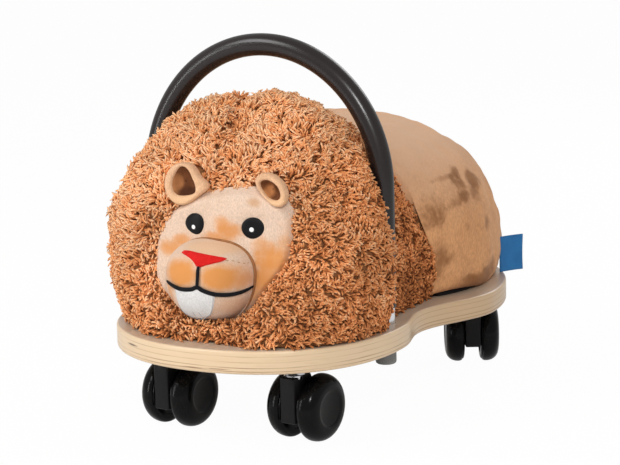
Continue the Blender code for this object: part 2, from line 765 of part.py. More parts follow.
def head_core_rings(grow, foot):
    """Foam block inside the head and neck, kept inside the hoop all along."""
    front = FACE_BACK_Y + MANE_COVER
    back = SEAM_Y - MANE_COVER
    rings = []
    for share in (0.0, 0.12, 0.3, 0.5, 0.7, 0.85, 1.0):
        y = front + (back - front) * share
        half_width, height = mane_size(y)
        half = []
        for x, z in section(half_width - MANE_COVER + grow, height - MANE_COVER + grow, HEAD_POWER, foot):
            half.append((min(x, hoop_inside(z) - GROOVE_GAP - MANE_COVER + grow), z))
        end = (-grow if share == 0.0 else grow if share == 1.0 else 0.0)
        rings.append(whole_ring(half, y + end))
    return rings


def make_head():
    core = add_part("head_foam", loft("head_foam", head_core_rings(0.0, REST_LEVEL)), "foam")
    smooth(core)
    mane = add_part("mane_cover", loft("mane_cover", mane_rings()), "mane_pile")
    hollow = loft("head_hollow", head_core_rings(CLEARANCE, REST_LEVEL - OVERRUN))
    boolean(mane, add_cutter("head_hollow", hollow))
    recess = bmesh.new()
    reach = FACE_BACK_Y + CLEARANCE - (FRONT_EDGE_Y - OVERRUN)
    place = Matrix.Translation((0.0, FACE_BACK_Y + CLEARANCE - reach / 2, BOARD_TOP + FACE_LEVEL))
    lay = place @ Matrix.Rotation(math.pi / 2, 4, "X")
    grown_width = FACE_WIDTH / 2 + CLEARANCE
    grown_height = FACE_HEIGHT / 2 + CLEARANCE
    stretch = Matrix.Diagonal((1.0, grown_height / grown_width, 1.0, 1.0))
    bmesh.ops.create_cone(
        recess,
        cap_ends=True,
        segments=FACE_SIDES,
        radius1=grown_width,
        radius2=grown_width,
        depth=reach,
        matrix=lay @ stretch,
    )
    boolean(mane, add_cutter("face_recess", mesh_of(recess, "face_recess")))
    for label, side in SIDES.items():
        boolean(mane, place_ear(add_cutter(f"ear_pocket_{label}", turned_mesh("ear_pocket", ear_envelope())), side))
    smooth(mane)


def body_size(y):
    place = (y - BODY_FRONT_Y) / (BODY_REAR_Y - BODY_FRONT_Y)
    return BODY_WIDTH / 2 * read_shares(BODY_SHARES, place, 1), BODY_HEIGHT * read_shares(BODY_SHARES, place, 2)


def body_stations(inset):
    front = BODY_FRONT_Y + inset
    rear = BODY_REAR_Y - inset
    return [front + (rear - front) * row[0] for row in BODY_SHARES]


def body_core_rings(grow, foot):
    rings = []
    ys = body_stations(2 * BODY_COVER)
    for index, y in enumerate(ys):
        half_width, height = body_size(y)
        end = (-grow if index == 0 else grow if index == len(ys) - 1 else 0.0)
        half = section(half_width - BODY_COVER + grow, height - BODY_COVER + grow, BODY_POWER, foot)
        rings.append(whole_ring(half, y + end))
    return rings


def make_body():
    foam_foot = REST_LEVEL + LINER_THICKNESS + CLEARANCE
    core = add_part("body_foam", loft("body_foam", body_core_rings(0.0, foam_foot)), "foam")
    smooth(core)
    rings = [whole_ring(section(*body_size(y), BODY_POWER, REST_LEVEL), y) for y in body_stations(0.0)]
    cover = add_part("body_cover", loft("body_cover", rings), "tan_pile")
    hollow = loft("body_hollow", body_core_rings(CLEARANCE, REST_LEVEL - OVERRUN))
    boolean(cover, add_cutter("body_hollow", hollow))
    smooth(cover)
    edge = []
    for y in body_stations(2 * BODY_COVER):
        edge.append(((body_size(y)[0] - BODY_COVER) * FOOT_SHARE - LINER_INSET, y))
    bm = bmesh.new()
    prism(bm, edge + [(-x, y) for x, y in reversed(edge)], REST_LEVEL, REST_LEVEL + LINER_THICKNESS)
    add_part("base_liner", mesh_of(bm, "base_liner"), "black_felt")


def muzzle_front(x, z):
    """Y of the muzzle's skin over a point of the face."""
    height = MUZZLE_RISE if z > MUZZLE_Z else MUZZLE_DROP
    across = abs(x / (MUZZLE_WIDTH / 2)) ** MUZZLE_POWER + abs((z - MUZZLE_Z) / height) ** MUZZLE_POWER
    return MUZZLE_BACK_Y - MUZZLE_DEPTH * max(1.0 - across, 0.0) ** (1 / MUZZLE_POWER)


def over_muzzle(x, z, stand_off):
    """The point that stands off the muzzle's skin at (x, z), square to it."""
    height = MUZZLE_RISE if z > MUZZLE_Z else MUZZLE_DROP
    y = muzzle_front(x, z)
    shares = Vector((x / (MUZZLE_WIDTH / 2), (y - MUZZLE_BACK_Y) / MUZZLE_DEPTH, (z - MUZZLE_Z) / height))
    slope = [signed_power(share, MUZZLE_POWER - 1) for share in shares]
    normal = Vector((slope[0] / MUZZLE_WIDTH * 2, slope[1] / MUZZLE_DEPTH, slope[2] / height)).normalized()
    return Vector((x, y, z)) + normal * stand_off


def signed_power(value, power):
    return math.copysign(abs(value) ** power, value)


def make_muzzle():
    bm = bmesh.new()
    share = 2 / MUZZLE_POWER
    rows = []
    for step in range(1, MUZZLE_STEPS + 1):
        lean = math.pi / 2 * step / MUZZLE_STEPS
        row = []
        for index in range(MUZZLE_SIDES):
            angle = 2 * math.pi * index / MUZZLE_SIDES
            height = MUZZLE_RISE if math.sin(angle) > 0 else MUZZLE_DROP
            spread = math.sin(lean) ** share
            x = MUZZLE_WIDTH / 2 * signed_power(math.cos(angle), share) * spread
            z = MUZZLE_Z + height * signed_power(math.sin(angle), share) * spread
            depth = MUZZLE_DEPTH * max(math.cos(lean), 0.0) ** share if step < MUZZLE_STEPS else 0.0
            row.append(bm.verts.new((x, MUZZLE_BACK_Y - depth, z)))
        rows.append(row)
    tip = bm.verts.new((0.0, MUZZLE_BACK_Y - MUZZLE_DEPTH, MUZZLE_Z))
    for index in range(MUZZLE_SIDES):
        ahead = (index + 1) % MUZZLE_SIDES
        bm.faces.new((tip, rows[0][index], rows[0][ahead]))
        for row, following in zip(rows, rows[1:]):
            bm.faces.new((row[index], following[index], following[ahead], row[ahead]))
    bm.faces.new(rows[-1])
    muzzle = add_part("muzzle", mesh_of(bm, "muzzle"), "cream_pile")
    smooth(muzzle)


def pad_on_muzzle(name, columns, finish):
    """A felt pad laid on the muzzle: columns of (x, z) points, from the left to the right."""
    bm = bmesh.new()
    grid = []
    for column in columns:
        grid.append([bm.verts.new(over_muzzle(x, z, CLEARANCE)) for x, z in column])
    for left, right in zip(grid, grid[1:]):
        for index in range(len(left) - 1):
            bm.faces.new((left[index], left[index + 1], right[index + 1], right[index]))
    bm.normal_update()
    if bm.faces[:][0].normal.y > 0:
        bmesh.ops.reverse_faces(bm, faces=bm.faces)
    mesh = bpy.data.meshes.new(name)
    bm.to_mesh(mesh)
    bm.free()
    pad = add_part(name, mesh, finish)
    wall = pad.modifiers.new("felt", "SOLIDIFY")
    wall.thickness = PAD_THICKNESS
    wall.offset = 1.0


def make_nose():
    top = BOARD_TOP + NOSE_LEVEL
    columns = []
    for step in range(-4, 5):
        share = step / 4
        bow = NOSE_HEIGHT * NOSE_BOW_SHARE * (1.0 - share * share)
        drop = NOSE_HEIGHT * max(1.0 - abs(share) ** 0.8, NOSE_CORNER_SHARE)
        x = NOSE_WIDTH / 2 * share
        columns.append([(x, top - bow - drop * part / 2) for part in range(3)])
    pad_on_muzzle("nose", columns, "red_felt")


def smile_height(x):
    """Height of the mouth line: it falls from the middle to a dip on each side and rises to the corners."""
    share = min(abs(x) / (SMILE_WIDTH / 2), 1.0)
    return BOARD_TOP + SMILE_LEVEL - SMILE_DIP * math.sin(math.pi * share**0.8)


def make_mouth():
    """Embroidered line: a smile across the muzzle, joined to the nose by a short upright."""
    stand_off = STITCH_RADIUS + CLEARANCE
    smile = []
    for step in range(SMILE_STEPS + 1):
        x = SMILE_WIDTH * (step / SMILE_STEPS - 0.5)
        z = smile_height(x)
        smile.append(over_muzzle(x, z, stand_off))
    mouth = add_part("mouth_stitch", tube_mesh("mouth_stitch", smile, STITCH_RADIUS, 1, True), "black_thread")
    low = smile_height(0.0)
    high = BOARD_TOP + NOSE_LEVEL - NOSE_HEIGHT * (1.0 + NOSE_BOW_SHARE) - CLEARANCE - STITCH_RADIUS
    upright = []
    for step in range(PHILTRUM_STEPS + 1):
        z = low + (high - low) * step / PHILTRUM_STEPS
        upright.append(over_muzzle(0.0, z, stand_off))
    boolean(mouth, add_cutter("mouth_upright", tube_mesh("mouth_upright", upright, STITCH_RADIUS, 1, True)), "UNION")


def make_tongue():
    columns = []
    gap = 2 * STITCH_RADIUS
    for step in range(-4, 5):
        share = step / 4
        x = TONGUE_WIDTH / 2 * share
        top = smile_height(x) - gap
        length = TONGUE_LENGTH * max(1.0 - abs(share) ** 2.5, NOSE_CORNER_SHARE) ** 0.5
        columns.append([(x, top - length * part / 4) for part in range(5)])
    pad_on_muzzle("tongue", columns, "white_felt")


def facing_front(obj, x, y, z, flare=0.0, lean=0.0):
    """Turns a piece made about Z to face -Y, flared out about the vertical and leaned back."""
    obj.location = (x, y, z)
    obj.rotation_euler = (Euler((0.0, 0.0, flare)).to_matrix() @ Euler((math.pi / 2 - lean, 0.0, 0.0)).to_matrix()).to_euler()
    return obj


def make_face():
    half = FACE_WIDTH / 2
    profile = [
        (0.0, FACE_THICKNESS),
        (half - FACE_EDGE, FACE_THICKNESS),
        (half - FACE_EDGE * 0.3, FACE_THICKNESS - FACE_EDGE * 0.3),
        (half, FACE_THICKNESS - FACE_EDGE),
        (half, 0.0),
        (0.0, 0.0),
    ]
    panel = add_part("face_panel", turned_mesh("face_panel", profile), "cream_pile")
    facing_front(panel, 0.0, FACE_BACK_Y, BOARD_TOP + FACE_LEVEL)
    panel.scale = (1.0, FACE_HEIGHT / FACE_WIDTH, 1.0)
    turn(panel, FACE_SIDES)
    for label, side in SIDES.items():
        boolean(panel, bpy.data.objects[f"ear_pocket_{label}"])
        eye_profile = [
            (0.0, EYE_BULGE),
            (EYE_WIDTH * 0.28, EYE_BULGE * 0.85),
            (EYE_WIDTH * 0.43, EYE_BULGE * 0.5),
            (EYE_WIDTH / 2, 0.0),
            (0.0, 0.0),
        ]
        eye = add_part(f"eye_{label}", turned_mesh("eye", eye_profile), "black_thread")
        facing_front(eye, side * EYE_SPACING / 2, FACE_FRONT_Y - CLEARANCE, BOARD_TOP + EYE_LEVEL)
        eye.scale = (1.0, EYE_TALL_SHARE, 1.0)
        turn(eye, ROUND_SIDES)
        ear = add_part(f"ear_{label}", turned_mesh("ear", ear_profile()), "cream_pile")
        place_ear(ear, side)


def ear_profile():
    """Half section of a cupped ear: the bowl, the rolled rim, then the rounded back."""
    shape = (
        (0.0, 0.30), (0.52, 0.42), (0.70, 0.78), (0.84, 1.0), (0.97, 0.86), (1.0, 0.6), (0.90, 0.28), (0.56, 0.04), (0.0, 0.0),
    )
    return [(EAR_RADIUS * across, EAR_DEPTH * up) for across, up in shape]


def ear_envelope():
    """The ear's outer skin grown by the clearance and left open to the front, for its pocket."""
    top = EAR_DEPTH + OVERRUN
    grown = [(0.0, top), (EAR_RADIUS + 2 * CLEARANCE, top)]
    for across, up in ((1.0, 0.6), (0.90, 0.28), (0.56, 0.04)):
        grown.append((EAR_RADIUS * across + 2 * CLEARANCE, EAR_DEPTH * up - CLEARANCE))
    grown.append((0.0, -2 * CLEARANCE))
    return grown


def place_ear(obj, side):
    y = FRONT_EDGE_Y + EAR_SETBACK
    facing_front(obj, side * EAR_SPACING / 2, y, BOARD_TOP + EAR_LEVEL, side * EAR_FLARE, EAR_LEAN)
    obj.scale = (1.0, EAR_TALL_SHARE, 1.0)
    turn(obj, ROUND_SIDES)
    return obj


def skinned_half_width(y):
    """Half width of the body's lofted skin, which runs straight between its stations."""
    stations = body_stations(0.0)
    row = 0
    while row < len(stations) - 2 and y > stations[row + 1]:
        row += 1
    start, end = stations[row], stations[row + 1]
    start_width, end_width = body_size(start)[0], body_size(end)[0]
    return start_width + (end_width - start_width) * (y - start) / (end - start)


def make_label():
    y = REAR_EDGE_Y - LABEL_SETBACK
    half_width = skinned_half_width(y)
    bm = bmesh.new()
    size = Matrix.Diagonal((LABEL_REACH, LABEL_THICKNESS, LABEL_HEIGHT, 1.0))
    shift = Matrix.Translation((LABEL_REACH / 2, 0.0, 0.0))
    bmesh.ops.create_cube(bm, size=1.0, matrix=shift @ size)
    label = add_part("side_label", mesh_of(bm, "side_label"), "blue_weave")
    stand_off = CLEARANCE + LABEL_THICKNESS / 2 * math.sin(LABEL_TURN)
    label.location = (half_width + stand_off, y, REST_LEVEL + LABEL_LEVEL)
    label.rotation_euler = (0.0, 0.0, LABEL_TURN)


clear_scene()
PARTS = new_collection("plush_lion_ride_on")
CUTTERS = new_collection("cutters")
make_board()
make_handle()
make_casters()
make_head()
make_body()
make_face()
make_muzzle()
make_nose()
make_mouth()
make_tongue()
make_label()
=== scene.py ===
"""The plush lion ride-on, dressed: pile, felt, plywood, sleeve, casters, light and camera.

All lengths are in metres, and in millimetres in the tables that say so. The lion faces -Y, up is +Z and its
left side lies at +X.
"""

import math

import bmesh
import bpy
import numpy as np
from mathutils import Matrix, Vector


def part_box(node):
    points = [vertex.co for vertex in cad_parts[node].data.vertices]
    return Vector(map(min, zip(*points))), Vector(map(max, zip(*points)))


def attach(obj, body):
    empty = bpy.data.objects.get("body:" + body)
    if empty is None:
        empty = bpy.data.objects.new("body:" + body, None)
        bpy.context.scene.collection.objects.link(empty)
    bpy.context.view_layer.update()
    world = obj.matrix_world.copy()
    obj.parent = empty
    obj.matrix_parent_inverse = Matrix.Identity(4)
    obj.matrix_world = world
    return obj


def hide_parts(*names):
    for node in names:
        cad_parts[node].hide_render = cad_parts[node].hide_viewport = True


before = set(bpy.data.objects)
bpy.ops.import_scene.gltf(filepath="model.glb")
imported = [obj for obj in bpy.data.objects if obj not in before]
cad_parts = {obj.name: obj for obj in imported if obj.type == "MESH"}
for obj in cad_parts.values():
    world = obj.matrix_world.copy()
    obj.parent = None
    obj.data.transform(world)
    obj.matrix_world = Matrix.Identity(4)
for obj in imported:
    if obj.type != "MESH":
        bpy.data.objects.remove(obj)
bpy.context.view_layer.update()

# Board and hoop
BOARD_LENGTH = 0.370
BOARD_WIDTH = 0.2664
BOARD_FOOT = 0.060
BOARD_UNDERSIDE = 0.0594
BOARD_TOP = 0.0765
BOARD_EDGE_RADIUS = 0.0022
FRONT_TIP_Y = -0.189
FRONT_LOBE_WIDTH = 0.2210
FRONT_LOBE_REACH = 0.112
FRONT_LOBE_POWER = 2.2
WAIST_WIDTH = 0.2080
WAIST_RUN = 0.040
REAR_LOBE_REACH = 0.136
REAR_LOBE_POWER = 2.0
FRONT_Y = -BOARD_LENGTH / 2
REAR_Y = BOARD_LENGTH / 2
HOOP_Y = -0.075
HOOP_WIDTH = 0.1876
HOOP_SPRING = 0.1755
HOOP_RISE = 0.102
TUBE_RADIUS = 0.0072
SLEEVE_RADIUS = 0.0082
SLEEVE_FOOT = 0.0885
CLEARANCE = 0.0003

# Casters: each corner's kingpin as (x, y) and its turn at rest in degrees
WHEEL_RADIUS = 0.0247
WHEEL_WIDTH = 0.0152
AXLE_LEVEL = 0.025 * math.cos(math.pi / 22)
CASTER_TRAIL = 0.015
PANEL_WIDTH = 0.0124
HEEL_RADIUS = 0.0105
HOUSING_TOP = 0.05035
PLATE_FOOT = 0.0577
CORNERS = {
    "front_left": (0.0515, -0.1432, -9.1),
    "front_right": (-0.0515, -0.1432, -6.9),
    "rear_left": (0.0937, 0.102, 25.0),
    "rear_right": (-0.0937, 0.102, 17.0),
}
SIDES = {"left": 1, "right": -1}

# Head and body, with the shares of full width and height along each, front to rear
REST_LEVEL = 0.0768
MANE_FRONT_Y = -0.178
MANE_LENGTH = 0.1827
SEAM_Y = MANE_FRONT_Y + MANE_LENGTH
HEAD_WIDTH = 0.216
HEAD_HEIGHT = 0.1690
HEAD_POWER = 2.25
GROOVE_GAP = 0.0012
GROOVE_LIP = 0.007
MANE_SHARES = (
    (0.000, 0.20, 0.06), (0.033, 0.46, 0.15), (0.082, 0.66, 0.29), (0.126, 0.77, 0.41),
    (0.170, 0.85, 0.52), (0.208, 0.90, 0.63), (0.252, 0.94, 0.73), (0.307, 0.97, 0.825),
    (0.372, 0.99, 0.907), (0.443, 1.00, 0.967), (0.500, 0.99, 0.993), (0.624, 0.925, 0.99),
    (0.700, 0.92, 0.95), (0.783, 0.926, 0.89), (0.892, 0.94, 0.83), (1.000, 0.954, 0.795),
)
BODY_FRONT_Y = 0.005
BODY_REAR_Y = 0.181
BODY_WIDTH = 0.248
BODY_HEIGHT = 0.1332
BODY_POWER = 2.32
BODY_SHARES = (
    (0.000, 0.832, 0.995), (0.085, 0.903, 0.998), (0.170, 0.960, 1.000), (0.256, 0.993, 0.999),
    (0.341, 1.000, 0.997), (0.455, 0.979, 0.990), (0.568, 0.943, 0.941), (0.682, 0.887, 0.834),
    (0.795, 0.777, 0.700), (0.881, 0.638, 0.549), (0.938, 0.492, 0.391), (0.977, 0.331, 0.233),
    (1.000, 0.162, 0.098),
)
WIDEST_SHARE = 0.22
FOOT_SHARE = 0.95
SEAM_LEAN = 0.024

# Extra stuffing at the front of the head, in degrees about its middle and millimetres
FULLNESS = (
    (-180, 2.0), (-150, -5.0), (-90, 0.0), (-50, 2.0), (-25, 3.0), (0, 2.0), (30, 0.0), (60, 0.0), (90, 0.5),
    (110, 0.0), (128, -4.5), (140, 1.0), (152, 4.0), (165, 4.0), (180, 2.0),
)

# Pile: spacing of the locks, size of the bundles that they cling together in, edges of the four pieces in Y
LOCK_SPACING = 0.00178
BUNDLE_SIZE = 0.0046
PILE_EDGES = (-1.0, -0.138, -0.108, -0.072, 1.0)

# Face, with the reach of its skin in each direction from the middle, in degrees and millimetres
FACE_X = 0.001
FACE_Y = -0.146
FACE_Z = 0.137
FACE_REACH = (
    (0, 51.5), (12, 56.0), (23, 59.5), (33, 61.5), (45, 58.0), (64, 50.5), (84, 44.5), (106, 42.0),
    (125, 44.5), (142, 48.5), (160, 54.5), (176, 56.5), (192, 59.0), (202, 59.5), (218, 57.0),
    (240, 54.0), (270, 52.0), (300, 47.0), (320, 43.0), (334, 43.5), (349, 49.0), (360, 54.0),
)
MUZZLE_X = -0.0055
MUZZLE_BACK_Y = -0.1463
MUZZLE_DEPTH = 0.0367
MUZZLE_Z = 0.1227
MUZZLE_HALF_WIDTH = 0.0342
MUZZLE_RISE = 0.0248
MUZZLE_DROP = 0.0346
MUZZLE_POWER = 2.3

# Needlework on the muzzle, as (x, z) in millimetres
MOUTH = (
    (-30.8, 119.4), (-26.4, 118.5), (-21.8, 117.6), (-16.3, 116.6), (-11.2, 116.6), (-6.0, 117.3),
    (-1.8, 118.9), (1.4, 117.3), (5.0, 115.7), (9.9, 114.2), (14.9, 113.5), (19.6, 113.3),
    (23.4, 113.8), (26.1, 114.8), (28.0, 116.3),
)
LIP = ((-1.2, 133.2), (-1.2, 129.6), (-1.1, 126.2), (-1.4, 122.6), (-1.8, 118.6))
NOSE_TOP = (
    (-19.3, 140.5), (-16.4, 141.3), (-12.5, 141.6), (-6.2, 141.3), (0.7, 140.7), (7.3, 139.7), (12.0, 138.7),
    (15.4, 137.9),
)
NOSE_LOW = (
    (-19.3, 140.1), (-14.6, 139.2), (-10.0, 137.9), (-6.1, 135.9), (-3.4, 133.6), (-1.3, 132.6), (1.0, 133.2),
    (4.6, 134.3), (9.0, 135.4), (13.0, 136.3), (15.4, 137.5),
)
PATCH_LOW = (
    (-20.9, 104.5), (-20.0, 99.5), (-18.2, 96.0), (-15.0, 93.4), (-11.0, 92.5), (-7.1, 92.8), (-1.4, 94.7),
    (3.2, 97.7), (6.6, 102.3), (8.7, 107.5), (10.2, 113.0),
)
MUZZLE_SEAM = ((15.2, 136.9), (19.8, 135.9), (23.9, 133.6), (25.8, 133.0), (27.0, 132.4))

# Each eye's x, z, half width, half height, tilt and turn in degrees, and its dot's place and radius
EYES = {
    "left": (0.0267, 0.1562, 0.0092, 0.0079, -4.0, 14.0, (0.0252, 0.1556), 0.00175),
    "right": (-0.0216, 0.1555, 0.0096, 0.0080, 42.0, -12.0, (-0.0206, 0.1545), 0.00165),
}

# Outer and inner edge of each ear's rim as (x, z) in millimetres
EARS = {
    "right": (
        (
            (-45.9, 184.1), (-44.9, 189.7), (-42.7, 194.2), (-39.3, 197.3), (-35.4, 198.9), (-30.5, 199.5),
            (-25.8, 198.3), (-22.3, 195.2), (-20.1, 191.8), (-17.1, 188.0), (-12.9, 186.1), (-11.0, 183.6),
            (-12.1, 180.9), (-16.0, 177.9), (-20.4, 174.3), (-24.8, 171.2), (-30.0, 169.0), (-35.5, 169.4),
            (-40.3, 172.5), (-44.3, 177.6),
        ),
        (
            (-31.8, 197.0), (-28.4, 195.6), (-25.8, 192.2), (-23.5, 187.3), (-21.4, 182.5), (-20.8, 178.7),
            (-24.2, 177.1), (-29.7, 176.2), (-34.7, 176.4), (-37.9, 178.8), (-39.2, 183.3), (-38.6, 187.9),
            (-36.5, 192.5), (-34.4, 195.6),
        ),
    ),
    "left": (
        (
            (25.9, 189.7), (27.1, 192.7), (30.7, 194.6), (36.0, 195.4), (42.4, 193.9), (47.9, 190.2),
            (51.5, 185.4), (52.9, 180.8), (52.3, 176.1), (49.8, 173.1), (45.6, 172.1), (41.8, 173.2),
            (38.5, 175.5), (34.6, 178.4), (31.1, 181.7), (27.9, 185.5),
        ),
        (
            (30.4, 188.4), (32.7, 190.0), (36.9, 190.4), (41.8, 188.8), (45.6, 186.0), (47.7, 181.8),
            (47.5, 178.6), (45.0, 177.1), (41.3, 177.4), (37.7, 178.8), (34.7, 181.7), (31.9, 185.0),
        ),
    ),
}
# From the inner edge of the rim to the outer: share of the way, and depth behind the front
EAR_ROLL = (
    (0.06, 0.0070), (0.00, 0.0020), (0.02, 0.0006), (0.12, -0.0005), (0.32, -0.0012), (0.60, -0.0014),
    (0.84, -0.0006), (0.96, 0.0008), (1.00, 0.0026), (0.97, 0.0070),
)
EAR_BOWL = ((1.04, 0.0012), (0.90, 0.0030), (0.72, 0.0048), (0.48, 0.0062), (0.24, 0.0068), (0.05, 0.0070))

# Side tag: where it leaves the body, how far it stands out, its turn in degrees and its thickness
LABEL_Y = REAR_Y - 0.073
LABEL_REACH = 0.0222
LABEL_TURN = 53
LABEL_THICKNESS = 0.0010

# Camera: angles in degrees, lens in millimetres
CAMERA_AZIMUTH = 25.799
CAMERA_ELEVATION = 11.2431
CAMERA_ROLL = -1.4296
CAMERA_DISTANCE = 1.5432515
CAMERA_SHIFT = -0.0130525
CAMERA_TARGET = (0.0, 0.026408, 0.118552)
CAMERA_LENS = 113.225

# Each lamp's place, target, width, height and power in watts
LAMPS = {
    "key": ((-0.75, -1.15, 1.35), (0.0, -0.05, 0.12), 0.75, 0.75, 12.4),
    "window": ((0.80, -1.30, 0.95), (0.0, 0.0, 0.15), 0.22, 0.22, 9.0),
    "left strip": ((-0.9, -1.1, 0.25), (0.0, -0.1, 0.05), 0.10, 0.9, 3.6),
    "rim": ((0.2, 1.4, 1.0), (0.0, 0.0, 0.15), 0.8, 0.8, 6.0),
}
WORLD_LIGHT = 0.45
FLOOR_REACH = 6.0

# Colours
PALE_PLY = (0.74, 0.555, 0.355)
WARM_PLY = (0.73, 0.535, 0.335)
GLUE = (0.26, 0.120, 0.048)
PLY_STOPS = (
    (0.00, WARM_PLY), (0.10, WARM_PLY), (0.125, GLUE), (0.16, PALE_PLY), (0.255, PALE_PLY), (0.28, GLUE),
    (0.315, PALE_PLY), (0.50, PALE_PLY), (0.525, GLUE), (0.55, WARM_PLY), (0.745, PALE_PLY), (0.77, GLUE),
    (0.80, PALE_PLY), (1.00, PALE_PLY),
)
# Colours of the varnished faces, darker than the edge plies, which partly paints the shade on the top under
# the pile
FACE_GRAIN_AND_SHADE = ((0.25, (0.46, 0.345, 0.245)), (0.5, (0.54, 0.415, 0.305)), (0.8, (0.60, 0.475, 0.36)))
# Pile colours from root to tip: the dark root paints the shade between the locks, and the pale tip is partly
# a painted highlight
PILE_STOPS_WITH_PAINTED_LIGHT = (
    (0.00, (0.210, 0.062, 0.020)), (0.22, (0.440, 0.148, 0.046)), (0.46, (0.750, 0.285, 0.100)),
    (0.74, (0.890, 0.430, 0.190)), (1.00, (0.930, 0.560, 0.320)),
)
CREAM = (0.715, 0.530, 0.405)
CREAM_SHADE = (0.66, 0.45, 0.30)
ORANGE = (0.66, 0.275, 0.080)
TAN = (0.690, 0.345, 0.155)
TAN_SHADE = (0.480, 0.220, 0.095)
# Painted light: a paler tan for the top of the body, where the light falls
TAN_PAINTED_LIGHT = (0.70, 0.445, 0.290)
CRUSHED = (0.260, 0.105, 0.036)
EAR_WARM = (0.80, 0.50, 0.27)

# Soft patches: colour, centre and radii along X, Y and Z in millimetres, strength, raggedness and softness
EDGE_MARKS = (
    ((0.10, 0.045, 0.020), -61.2, -172.0, 70.0, 6.2, 6.2, 0.7, 0.85, 0.2, 0.4),
    ((0.22, 0.11, 0.05), -5.0, -184.9, 62.6, 13.0, 6.0, 0.5, 0.85, 0.2, 0.4),
    ((0.26, 0.14, 0.07), 15.0, -184.5, 63.0, 10.0, 6.0, 0.4, 0.85, 0.2, 0.4),
)
# The first patch is painted light, a paler top of the body; the rest are crushed pile
BODY_PATCHES = ((TAN_PAINTED_LIGHT, 50.0, 30.0, 213.0, 100.0, 110.0, 55.0, 0.85, 0.12, 0.75),) + tuple(
    (CRUSHED, x, y, z, 1.25 * wide, 1.25 * long, 1.25 * high, 1.6 * strength, 0.6, 0.6)
    for x, y, z, wide, long, high, strength in (
        (107.0, 37.0, 160.0, 4.5, 6.5, 11.0, 0.55), (104.0, 42.0, 169.0, 4.0, 5.0, 6.0, 0.45),
        (110.0, 33.0, 151.0, 5.0, 8.0, 4.0, 0.50), (111.0, 60.0, 161.0, 5.0, 7.5, 10.0, 0.50),
        (114.4, 52.1, 153.0, 4.0, 5.0, 6.0, 0.45), (107.5, 24.0, 148.2, 5.0, 9.0, 3.0, 0.40),
        (98.5, -1.0, 144.0, 8.0, 11.0, 7.5, 0.55), (100.0, 5.0, 139.0, 6.0, 7.0, 5.0, 0.50),
        (103.0, 6.0, 109.0, 7.0, 9.0, 8.5, 0.50), (114.7, 29.5, 129.5, 3.0, 3.0, 3.0, 0.55),
        (122.3, 61.5, 127.9, 4.0, 6.0, 4.0, 0.45), (119.0, 57.0, 85.0, 9.0, 15.0, 6.0, 0.50),
        (120.0, 72.0, 90.0, 8.0, 11.0, 6.0, 0.45), (115.7, 40.0, 83.0, 8.0, 14.0, 4.5, 0.45),
        (105.0, 20.0, 168.0, 5.0, 20.0, 1.6, 0.30),
    )
)
FACE_PATCHES = (
    (ORANGE, 3.5, -152.0, 157.5, 6.0, 20.0, 5.0, 0.75, 0.50, 0.7),
    (ORANGE, 9.5, -152.0, 153.5, 9.5, 20.0, 5.5, 0.85, 0.45, 0.6),
    (ORANGE, 0.5, -152.0, 149.0, 10.5, 20.0, 3.8, 0.80, 0.45, 0.6),
    (ORANGE, -45.0, -152.0, 137.0, 6.0, 20.0, 4.2, 0.75, 0.50, 0.7),
    (ORANGE, -38.5, -152.0, 140.5, 7.0, 20.0, 4.0, 0.80, 0.50, 0.7),
    (ORANGE, -31.0, -152.0, 144.5, 7.0, 20.0, 3.6, 0.75, 0.50, 0.7),
    (ORANGE, 32.5, -152.0, 145.0, 5.5, 20.0, 6.5, 0.60, 0.60, 0.7),
    (ORANGE, 37.0, -152.0, 139.0, 4.5, 20.0, 8.0, 0.60, 0.60, 0.7),
    (ORANGE, 50.0, -152.0, 146.0, 5.0, 20.0, 12.0, 0.55, 0.60, 0.7),
    (ORANGE, 44.0, -154.0, 133.0, 11.0, 20.0, 7.0, 0.85, 0.45, 0.6),
    (ORANGE, 37.5, -155.0, 125.0, 12.0, 20.0, 10.0, 0.85, 0.45, 0.6),
    (ORANGE, 31.0, -156.0, 115.0, 12.0, 20.0, 13.0, 0.80, 0.40, 0.6),
    ((0.55, 0.30, 0.15), 26.9, -150.0, 174.6, 4.5, 20.0, 2.8, 0.70, 0.40, 0.6),
)
MUZZLE_PATCHES = (
    (ORANGE, -17.0, -181.0, 127.5, 15.0, 30.0, 9.5, 1.00, 0.20, 0.45),
    (ORANGE, 13.0, -181.0, 125.5, 14.0, 30.0, 9.5, 1.00, 0.20, 0.45),
    (ORANGE, 23.5, -174.0, 123.0, 6.0, 30.0, 8.0, 0.60, 0.25, 0.5),
    (ORANGE, 19.0, -174.0, 103.0, 10.0, 30.0, 8.0, 0.35, 0.35, 0.6),
    (ORANGE, -30.0, -165.0, 110.0, 6.0, 30.0, 9.0, 0.65, 0.25, 0.5),
    ((0.72, 0.43, 0.23), 6.0, -165.0, 144.0, 26.0, 30.0, 4.0, 0.60, 0.20, 0.5),
)
EAR_PATCHES = (
    (EAR_WARM, -30.0, -146.0, 171.0, 12.0, 20.0, 7.0, 0.6, 0.2, 0.6),
    (EAR_WARM, 47.0, -146.0, 174.0, 12.0, 20.0, 7.0, 0.6, 0.2, 0.6),
)
# In the ear lining, the near-black spot low in the right ear is painted shade in the hollow under the rim
LINING_PATCHES_AND_SHADE = (
    ((0.46, 0.190, 0.070), -37.0, -142.0, 183.0, 3.6, 20.0, 8.0, 0.8, 0.3, 0.5),
    ((0.060, 0.018, 0.007), -28.0, -142.0, 178.5, 8.0, 20.0, 3.5, 0.9, 0.2, 0.5),
    ((0.50, 0.20, 0.070), 37.0, -142.0, 182.0, 3.5, 20.0, 5.0, 0.8, 0.3, 0.5),
)


# Numbers

def smooth_step(value, low, high):
    t = np.clip((value - low) / (high - low), 0.0, 1.0)
    return t * t * (3.0 - 2.0 * t)


def fade(value, low, high):
    return 1.0 - smooth_step(value, low, high)


def ridge(value, width):
    """One where the value is zero, and less on both sides of it, over about the given width."""
    return np.exp(-(value / width) ** 2)


def signed_power(value, power):
    return np.sign(value) * np.abs(value) ** power


def unit(vectors):
    return vectors / np.maximum(np.linalg.norm(vectors, axis=1), 1e-9)[:, None]


